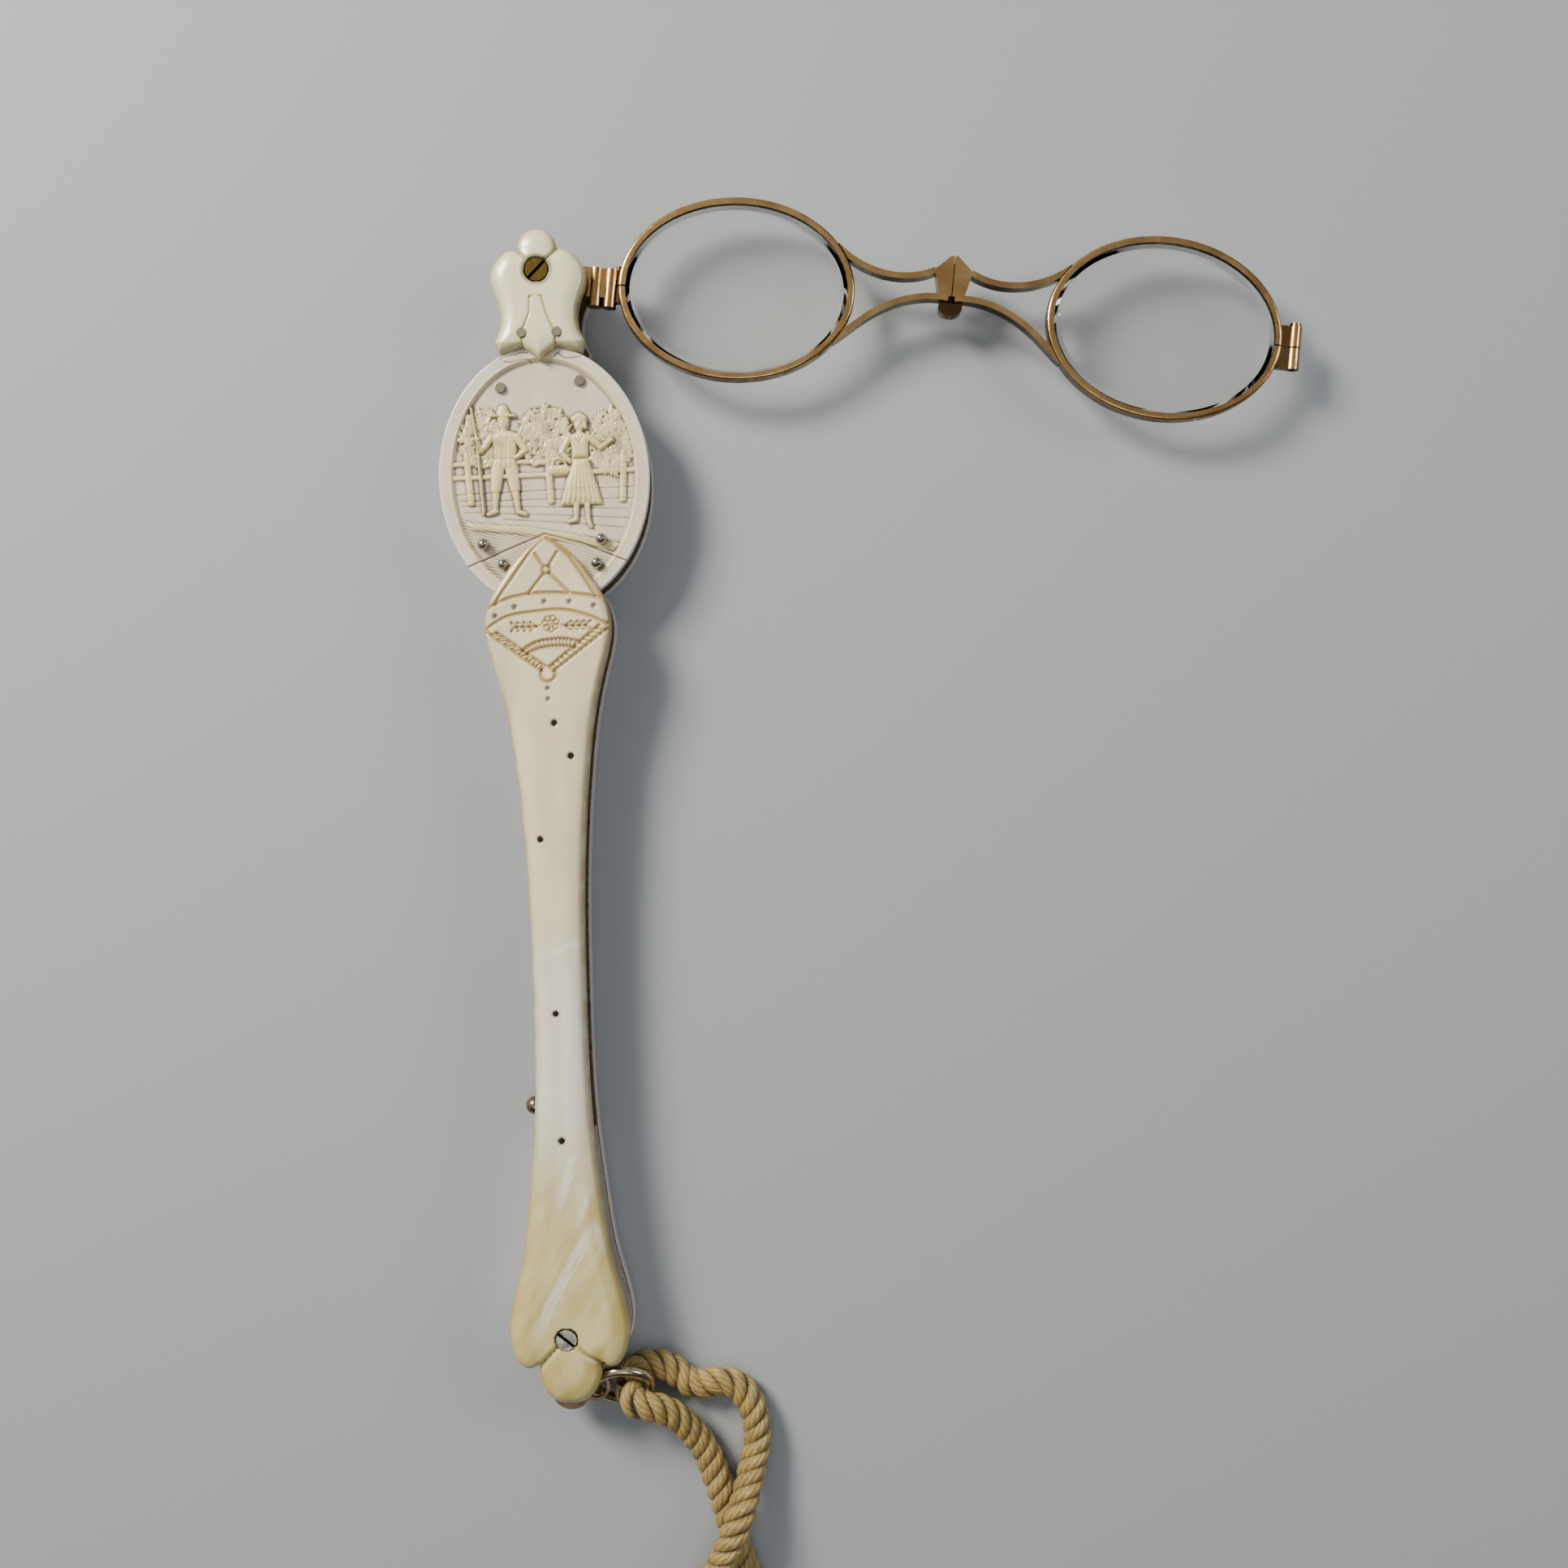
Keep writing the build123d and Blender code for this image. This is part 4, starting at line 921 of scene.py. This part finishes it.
for line, radii, high in (
        ([(-7.35, 5.8), (-8.75, 3.9)], [0.62, 0.5], 0.62),
        ([(-8.75, 3.9), (-9.35, 5.5)], [0.48, 0.36], 0.6),
        ([(-3.75, 5.8), (-2.5, 3.9)], [0.62, 0.5], 0.62),
        ([(-2.5, 3.9), (-3.9, 2.9)], [0.48, 0.36], 0.6),
        ([(-10.1, 10.0), (-9.4, 5.6), (-8.75, -5.0)], [0.2, 0.23, 0.2], 0.66),
        ([(-9.36, 5.55)], [0.46], 0.72),
        ([(-5.6, 6.6), (-5.6, 7.2)], [0.5, 0.45], 0.45),
        ([(-5.6, 7.75), (-5.6, 8.35)], [0.8, 0.86], 0.62),
        ([(-7.3, 8.85), (-3.95, 8.85)], [0.24, 0.24], 0.66),
        ([(-5.6, 9.2), (-5.6, 9.75)], [0.95, 0.72], 0.6)):
    ground.limb(line, radii, level, high)

# %% The woman with the basket
skirt = [(4.15, 2.6), (6.3, 2.6), (7.4, -0.8), (8.3, -4.1), (2.2, -4.1), (3.1, -0.8)]
for line, radii, high in (
        ([(4.5, -4.0), (4.4, -6.0)], [0.42, 0.3], 0.42),
        ([(6.0, -4.0), (6.15, -6.2)], [0.42, 0.3], 0.42),
        ([(4.35, -6.15), (3.4, -6.45)], [0.34, 0.26], 0.42),
        ([(6.15, -6.4), (6.5, -7.2)], [0.34, 0.26], 0.42)):
    ground.limb(line, radii, level, high)
ground.shape(skirt, level, 0.66, 1.2, 1.0, 8, 0.2)
ground.shape([(3.35, 5.7), (4.6, 6.2), (5.8, 6.2), (7.0, 5.7), (6.5, 4.2), (6.35, 2.5), (4.1, 2.5),
              (3.95, 4.2)], level, 0.64, 0.8)
ground.groove([(4.05, 2.55), (6.4, 2.55)], 0.12, 0.12, 0.4)
ground.groove([(4.4, 6.1), (5.2, 4.6), (6.0, 6.1)], 0.1, 0.11, 0.4)
for line, radii, high in (
        ([(3.65, 5.3), (2.55, 3.4)], [0.56, 0.46], 0.64),
        ([(2.55, 3.4), (3.7, 2.1)], [0.44, 0.34], 0.64),
        ([(6.75, 5.3), (8.2, 4.0)], [0.56, 0.46], 0.62),
        ([(8.2, 4.0), (9.7, 4.9)], [0.44, 0.32], 0.6),
        ([(9.75, 4.95)], [0.42], 0.66),
        ([(1.2, 0.95), (3.1, 0.95)], [0.72, 0.72], 0.58),
        ([(1.1, 1.4), (1.5, 2.3), (2.2, 2.6), (2.9, 2.3), (3.3, 1.4)], [0.16] * 5, 0.5)):
    ground.limb(line, radii, level, high)
for k in range(6):
    ground.groove([(0.9 + 0.45 * k, 1.35), (1.1 + 0.42 * k, 0.45)], 0.07, 0.08, 0.35)
for line, radii, high in (
        ([(5.2, 6.1), (5.2, 6.7)], [0.46, 0.42], 0.45),
        ([(5.2, 7.15), (5.2, 7.75)], [0.74, 0.8], 0.62),
        ([(4.55, 8.1), (5.2, 8.45), (5.85, 8.1)], [0.5, 0.62, 0.5], 0.68),
        ([(5.95, 7.7), (6.05, 6.9)], [0.34, 0.26], 0.55)):
    ground.limb(line, radii, level, high)

# %% Faces, seam, pins and edge of the oval
for x, y in ((-5.6, 8.0), (5.2, 7.35)):
    for side in (-1, 1):
        ground.dimple(x + side * 0.3, y + 0.12, 0.13, 0.07, 0.5)
    ground.limb([(x, y + 0.1), (x, y - 0.22)], [0.1, 0.15], level, 0.74)
    ground.groove([(x - 0.2, y - 0.48), (x + 0.2, y - 0.48)], 0.05, 0.08, 0.4)
seam = [(-15.2, -14.2), (-10.66, -12.3), (-6.11, -10.3), (-0.2, -8.0), (5.46, -9.6), (11.29, -12.2),
        (15.2, -13.9)]
ground.groove(seam, 0.45, 0.13, 1.0)
for chip in ([(-5.83, 16.91), (-4.9, 17.3), (-3.81, 17.45), (-2.7, 17.75), (-1.7, 17.7)],
             [(-5.2, 16.55), (-4.0, 16.42), (-2.9, 16.75), (-1.75, 16.75), (-1.2, 16.2)],
             [(1.9, 16.9), (2.5, 17.6), (3.3, 16.85), (4.6, 16.8), (5.91, 17.0)]):
    ground.groove(chip, 0.16, 0.12, 1.0)
case_pins_at = ((-5.9, 12.9), (5.4, 13.6))
studs_at = ((-8.9, -9.4), (7.9, -9.1), (-6.15, -12.3), (7.15, -12.5))
for x, y in case_pins_at:
    ground.seat(x, y, 0.8, -0.42, 0.78, 0.16, 0.9)
for x, y in studs_at:
    ground.seat(x, y, None, 0.0, 0.8, 0.25, 0.8)
for region in (((-8.6, 5.8), (3.6, 4.2)), ((0.3, 6.0), (3.8, 4.4)), ((9.6, 4.8), (3.2, 4.8))):
    darkened(region, 0.55)
ground.settle_grime(0.3, 8.0)
rough = rng.normal(0, 1, ground.x.shape)
ground.height += 0.006 * ground.smoothed(rough, 0.1) * 8 * picture * 0.5
case_loop = np.array([(15.0 * math.cos(a), 18.75 * math.sin(a))
                      for a in np.linspace(0, math.tau, 720, endpoint=False)])
case_plate = carved_plate("case_shell_plate", case_loop, front_z, case_top, ground, 0.22, 0.118)
case_plate.data.materials.append(case_shell)
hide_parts("front_case_plate", "front_case_wedges")

# %% [markdown]
# ## The handle plate
# One long plate runs from a spade over the oval's foot to a rounded tail with a petal. Its
# spade is engraved with traditional ornament: a panel with crossed lines, a band with drilled
# dots between two arches, a spray with a flower, and a pointed border with rungs. The rest is
# polished and slightly crowned, with small drilled pin holes.

# %% Engrave the spade
spade = Carving((-9.5, -132.6), (9.5, -7.4), 0.05)
engraved = dict(deep=0.3, wide=0.34, grime=0.42, cream=1.0)
left_edge = [(-0.5, -9.4), (-1.82, -10.6), (-3.91, -13.4), (-6.2, -16.5), (-7.3, -18.1)]
right_edge = [(1.2, -9.5), (3.31, -11.4), (5.1, -14.0), (7.0, -17.3)]
upper_arch = [(-8.2, -18.6), (-6.6, -17.8), (-4.9, -17.2), (-3.0, -16.85), (-1.15, -16.7),
              (1.0, -16.7), (3.15, -16.85), (5.4, -17.1), (7.6, -17.55)]
lower_arch = [(-8.5, -21.6), (-7.2, -20.7), (-5.8, -19.95), (-4.3, -19.6), (-2.66, -19.4),
              (0.8, -19.1), (2.3, -19.15), (3.65, -19.35), (5.1, -19.8), (6.5, -20.3), (8.5, -21.3)]
for line in (left_edge, right_edge, upper_arch, lower_arch,
             [(-0.3, -9.3), (0.3, -8.9), (1.0, -9.4)],
             [(-1.41, -11.16), (-0.3, -12.9)], [(1.75, -10.97), (0.5, -12.95)],
             [(0.55, -13.95), (3.15, -16.6)], [(-0.2, -14.0), (-2.44, -16.7)]):
    spade.groove(line, **engraved)


def circle(cx, cy, radius, count=20):
    return [(cx + radius * math.cos(a), cy + radius * math.sin(a))
            for a in np.linspace(0, math.tau, count + 1)]


spade.groove(circle(0.15, -13.5, 0.52), **engraved)
for x, y in ((-7.26, -19.8), (-4.5, -18.6), (-0.27, -17.95), (3.28, -18.05), (6.7, -18.7)):
    spade.dimple(x, y, 0.45, 0.4, 0.75)
for x, y in ((-0.18, -30.2), (-0.17, -31.7)):
    spade.dimple(x, y, 0.4, 0.4, 0.75)

# %% Flower, rungs and pointed border
fine_cut = dict(deep=0.18, wide=0.2, grime=0.5, cream=0.8)
flower_x, flower_y, petals = 0.58, -21.1, 7
for k in range(petals):
    turn = math.tau * k / petals + 0.3
    petal = circle(flower_x + 0.78 * math.cos(turn), flower_y + 0.78 * math.sin(turn), 0.4, 12)
    spade.groove(petal, **fine_cut)
spade.dimple(flower_x, flower_y, 0.26, 0.16, 0.9)
for side in (-1, 1):
    spade.groove([(flower_x + side * 1.5, -21.3), (flower_x + side * 3.2, -21.5),
                  (flower_x + side * 5.0, -21.4)], **fine_cut)
    for k in range(4):
        x = flower_x + side * (2.0 + 0.9 * k)
        for up in (-1, 1):
            tip = (x + side * 0.95, -21.4 + up * 0.62)
            upper_edge = [(x, -21.42), (x + side * 0.5, -21.4 + up * 0.42), tip]
            lower_edge = [(x + side * 0.2, -21.42), (x + side * 0.7, -21.4 + up * 0.2), tip]
            spade.groove(upper_edge, **fine_cut)
            spade.groove(lower_edge, **fine_cut)
ladder_out = [(-3.7, -24.85), (-2.8, -24.2), (-1.93, -23.76), (-0.6, -23.4), (0.66, -23.27),
              (1.9, -23.25), (2.95, -23.33), (4.5, -23.67)]
ladder_in = [(-3.1, -25.3), (-2.2, -24.9), (-1.3, -24.55), (-0.3, -24.35), (0.8, -24.25),
             (1.9, -24.25), (2.9, -24.35), (3.8, -24.6)]
spade.groove(ladder_out, **engraved)
spade.groove(ladder_in, **engraved)
for k in range(15):
    t = (k + 0.5) / 15 * (len(ladder_out) - 1)
    i = int(t)
    ends = [tuple(np.array(side[i]) * (1 - t + i) + np.array(side[i + 1]) * (t - i))
            for side in (ladder_out, ladder_in)]
    spade.groove(ends, 0.2, 0.17, 0.5, 1.0)
apex = (-0.06, -28.2)
for outer, inner_line, rungs in (
        ([(-8.4, -22.1), (-0.9, -27.75)], [(-7.1, -22.15), (-0.55, -26.95)], 15),
        ([(8.45, -22.05), (0.8, -27.8)], [(7.4, -21.5), (0.5, -26.95)], 11)):
    spade.groove(outer, **engraved)
    spade.groove(inner_line, **engraved)
    for k in range(rungs):
        t = (k + 0.5) / rungs
        a = np.array(outer[0]) * (1 - t) + np.array(outer[1]) * t
        b = np.array(inner_line[0]) * (1 - t) + np.array(inner_line[1]) * t
        lean = (np.array(outer[1]) - np.array(outer[0])) * (0.035 if k % 2 or rungs < 12 else -0.02)
        spade.groove([tuple(a - lean * 0.5), tuple(b + lean * 0.5)], 0.22, 0.18, 0.5, 1.0)
spade.groove(circle(apex[0], apex[1], 1.05, 24), **engraved)

# %% Tail petal, screw seat and pin holes
tail_x, tail_y = -0.3, -122.3
for line in ([(-4.15, -126.2), (-3.4, -125.3), (-2.4, -124.2), (-1.4, -123.3)],
             [(4.75, -126.2), (3.5, -125.4), (2.2, -124.5), (0.9, -123.3)]):
    spade.groove(line, 0.55, 0.5, 0.35, 0.2)
    spade.groove(line, 0.12, 0.14, 0.5)
spade.seat(tail_x, tail_y, 1.55, -1.4, 1.6, 0.2, 0.9)
handle_pins_at = ((0.6, -35.1), (2.8, -39.8), (-1.85, -51.5), (-0.4, -76.2), (-0.1, -94.2))
for x, y in handle_pins_at:
    spade.seat(x, y, 0.43, -0.35, 0.0, 0.5, peak=1.5)
spade.settle_grime(0.25, 1.6)


def handle_crown(x, y, far):
    """The polished part is rounded across, more so towards the tail."""
    soft = np.interp(-y, [26, 36, 100, 118], [0.0, 1.0, 1.0, 1.3])
    return soft * 0.8 * np.clip(1 - far / 3.4, 0, 1) ** 2


handle_loop = outline_of("front_handle_plate", front_z)
handle_plate = carved_plate("handle_shell_plate", handle_loop, front_z, handle_top, spade, 0.9,
                            0.26, crown=handle_crown, fine=(-33.0, 0.1))
handle_plate.data.materials.append(handle_shell)
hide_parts("front_handle_plate")

# %% [markdown]
# ## The back plates
# Three plain plates of the same shell cover the back. Their edges are rounded, the rivets that
# hold them lie in small countersinks, and two deeper ones take the nuts.

# %% Turn over, round and countersink
back_z = 1.9
rivets = [(side * 2.5, 20.4) for side in (-1, 1)] + [(0.0, -30.0), (0.0, -60.0), (0.0, -90.0)]
rivets += [(side * 9.0, end * 8.0) for side in (-1, 1) for end in (-1, 1)]
for part, spacing in (("head", 0.4), ("case", 0.5), ("handle", 0.5)):
    node = f"back_{part}_plate"
    loop = outline_of(node, back_z)
    plate = Carving(tuple(loop.min(0) - 0.4), tuple(loop.max(0) + 0.4), 0.08)
    for x, y in rivets:
        plate.seat(x, y, 0.62, -0.12, 0.62, 0.25, 0.8)
    for x, y in ((0.0, pivot_y), (tail_x, tail_y)):
        plate.seat(x, y, 2.3, -1.6, 2.3, 0.3, 0.9)
    made = carved_plate(f"back_{part}_shell_plate", loop, 0.0, back_z, plate, 0.5, spacing,
                        under=True)
    made.data.materials.append(back_shell)
    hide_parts(node)

# %% [markdown]
# ## Metal
# The lens frames are rolled gold: a thin gold sheet over brass, worn to a browner tone in
# patches, with their walls painted dark as shade beside their brighter upward faces. The
# liners are plain brass, their walls also painted dark as shade. The tail's block is white
# metal with a copper-coloured end. The pins and the tail screw are steel, the pivot screw is
# old brass, the knob is browned, and the ring is nickel silver. The screws are painted near
# black as shade in their slots and round their heads, and the pins deep in the handle's small
# holes are painted dark as the holes' shade.


# %% Metal finishes
def metal(name, bright, worn, dark, rough=0.3, size=1.2, dirt=0.4, side_shade=0.0, deep=None,
          core=None, tip=None):
    """A worn metal: a bright tone, a dull tone in patches and a dark tarnish in small spots.

    side_shade is how far its walls are painted dark as shade, beside its brighter upward faces.
    deep is a pair of heights in mm: below the first the metal is painted near black, as the shade
    in a slot's bottom and round a screw's head.
    core is a height in mm, near which it is painted darker, and the half depth of that dark band.
    tip is a colour that the metal has below a given y in mm.
    """
    material, tree, surface = finish(name, Metallic=1.0, Roughness=rough)
    coordinates = add(tree, "ShaderNodeTexCoord").outputs
    place = coordinates["Object"]
    patches = noise(tree, place, size, 4.0, 0.55)
    spots = noise(tree, place, size * 0.5, 5.0, 0.6)
    lines = noise(tree, place, size * 0.12, 2.0, 0.6, long=8)
    colour = blend_colours(tree, between(tree, patches, 0.36, 0.66), linear(bright), linear(worn))
    colour = blend_colours(tree, between(tree, spots, 0.58, 0.74, 0.0, dirt), colour, linear(dark))
    if side_shade:
        # Painted shade: faces that turn sideways are darkened towards the dark tone, while upward
        # faces stay bright.
        upward = size_of(tree, axes_of(tree, coordinates["Normal"])[2])
        wall = between(tree, upward, 0.1, 0.75, side_shade, 0.0)
        wall = sum_of(tree, "MULTIPLY", wall, between(tree, patches, 0.35, 0.6, 0.7, 1.0))
        colour = blend_colours(tree, wall, colour, linear(dark))
    if deep:
        # Painted shade: below the slot's floor the metal goes near black.
        height = axes_of(tree, place)[2]
        sunk = between(tree, height, deep[0] * MM, deep[1] * MM, 0.96, 0.0)
        colour = blend_colours(tree, sunk, colour, linear("#0E0B07"))
    if core:
        # Darker in a band round the core height.
        height = size_of(tree, sum_of(tree, "SUBTRACT", axes_of(tree, place)[2], core[0] * MM))
        sunk = between(tree, height, (core[1] - 0.35) * MM, core[1] * MM, 0.88, 0.0)
        colour = blend_colours(tree, sunk, colour, linear(dark))
    if tip:
        tip_colour, tip_y = tip
        beyond = between(tree, axes_of(tree, place)[1], (tip_y + 0.5) * MM, (tip_y - 0.5) * MM)
        colour = blend_colours(tree, beyond, colour, linear(tip_colour))
    tree.links.new(colour, surface.inputs["Base Color"])
    dull = sum_of(tree, "ADD", between(tree, patches, 0.35, 0.65, rough * 0.75, rough * 1.3),
                  between(tree, spots, 0.5, 0.7, 0.0, 0.15))
    tree.links.new(dull, surface.inputs["Roughness"])
    bump(tree, surface, lines, 0.01)
    return material


def slot_shade_heights(name):
    """The heights below which a screw is painted near black as the shade in its slot, from the
    height of its head.
    """
    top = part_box(name)[1][2] / MM
    return top - 0.3, top - 0.1


rolled_gold = metal("worn rolled gold", "#DDB274", "#A87D4A", "#2E1F12", 0.2, 3.5, 0.3,
                    side_shade=0.85, core=(6.0, 0.85))
liner_brass = metal("liner brass", "#8F8060", "#6E6146", "#241E16", 0.4, side_shade=0.8)
tail_metal = metal("worn white metal and copper", "#D9CFC8", "#BDB0A6", "#3A3029", 0.3, 2.5, 0.25,
                   tip=("#77604C", -127.0))
old_brass = metal("old brass screw", "#75602F", "#463818", "#1E170D", 0.32, 0.9, 0.7,
                  deep=slot_shade_heights("pivot_screw"))
bright_steel = metal("turned steel screw", "#BDB8AC", "#7A756B", "#2E2A25", 0.2, 0.9, 0.5,
                     deep=slot_shade_heights("tail_screw"))
steel = metal("dulled steel pin", "#B7B3A8", "#7C776D", "#3A352C", 0.22, 0.5)
flat_pin = metal("flat tarnished pin", "#8A8272", "#6A6252", "#332D22", 0.4, 0.5)
# Painted shade: the handle's pins sit deep in small holes and are coloured near black as the holes'
# shade.
hole_shade_pin = metal("iron pin dark as hole shade", "#3E372C", "#2C261D", "#14110D", 0.5, 0.5)
knob_bronze = metal("browned knob", "#A8977A", "#7E6E54", "#2A241A", 0.18, 0.8, 0.4)
nickel = metal("nickel silver", "#DCCFAE", "#B39F78", "#4A3D28", 0.18, 0.9, 0.4)
for name in ("inner_rim", "inner_closing_screw", "inner_bridge", "outer_rim", "outer_closing_screw",
             "outer_bridge", "pivot_arm", "bridge_pin", "bridge_spring"):
    dress(name, rolled_gold)
for name in ("front_liner", "back_liner", "case_spine", "neck_spine", "spacing_collar",
             "pivot_bush", "rod_guides", "catch", "release_rod", "pivot_nut", "tail_nut",
             "back_pins"):
    dress(name, liner_brass)
dress("tail_block", tail_metal)
dress("pivot_screw", old_brass)
dress("tail_screw", bright_steel)
for name in ("case_studs", "return_spring"):
    dress(name, steel)
for name in ("head_pins", "case_pins"):
    dress(name, flat_pin)
dress("handle_pins", hole_shade_pin)
dress("release_knob", knob_bronze)
dress("ring", nickel)
print("metal finishes: 10")

# %% [markdown]
# ## Lenses
# Clear crown glass with a ground bevel. It is solid in the model, so the shader's own
# refraction does the work. Lamps shine straight through it, as they nearly do through a thin
# lens: it throws only a faint shadow on the floor.

# %% Crown glass
glass, tree, surface = finish("clear crown glass", IOR=1.52, Roughness=0.02,
                              Transmission_Weight=1.0, Base_Color=linear("#FBFCFA"))
place = add(tree, "ShaderNodeTexCoord").outputs["Object"]
smear = noise(tree, place, 7.0, 4.0, 0.6)
tree.links.new(between(tree, smear, 0.45, 0.75, 0.0, 0.05), surface.inputs["Roughness"])
clear = add(tree, "ShaderNodeBsdfTransparent", {"Color": linear("#C6C6C3")}).outputs[0]
for_lamps = add(tree, "ShaderNodeLightPath").outputs["Is Shadow Ray"]
both = add(tree, "ShaderNodeMixShader", {0: for_lamps, 1: surface.outputs[0], 2: clear})
tree.links.new(both.outputs[0], tree.nodes["Material Output"].inputs["Surface"])
for name in ("inner_lens", "outer_lens"):
    dress(name, glass)
print("lenses dressed")
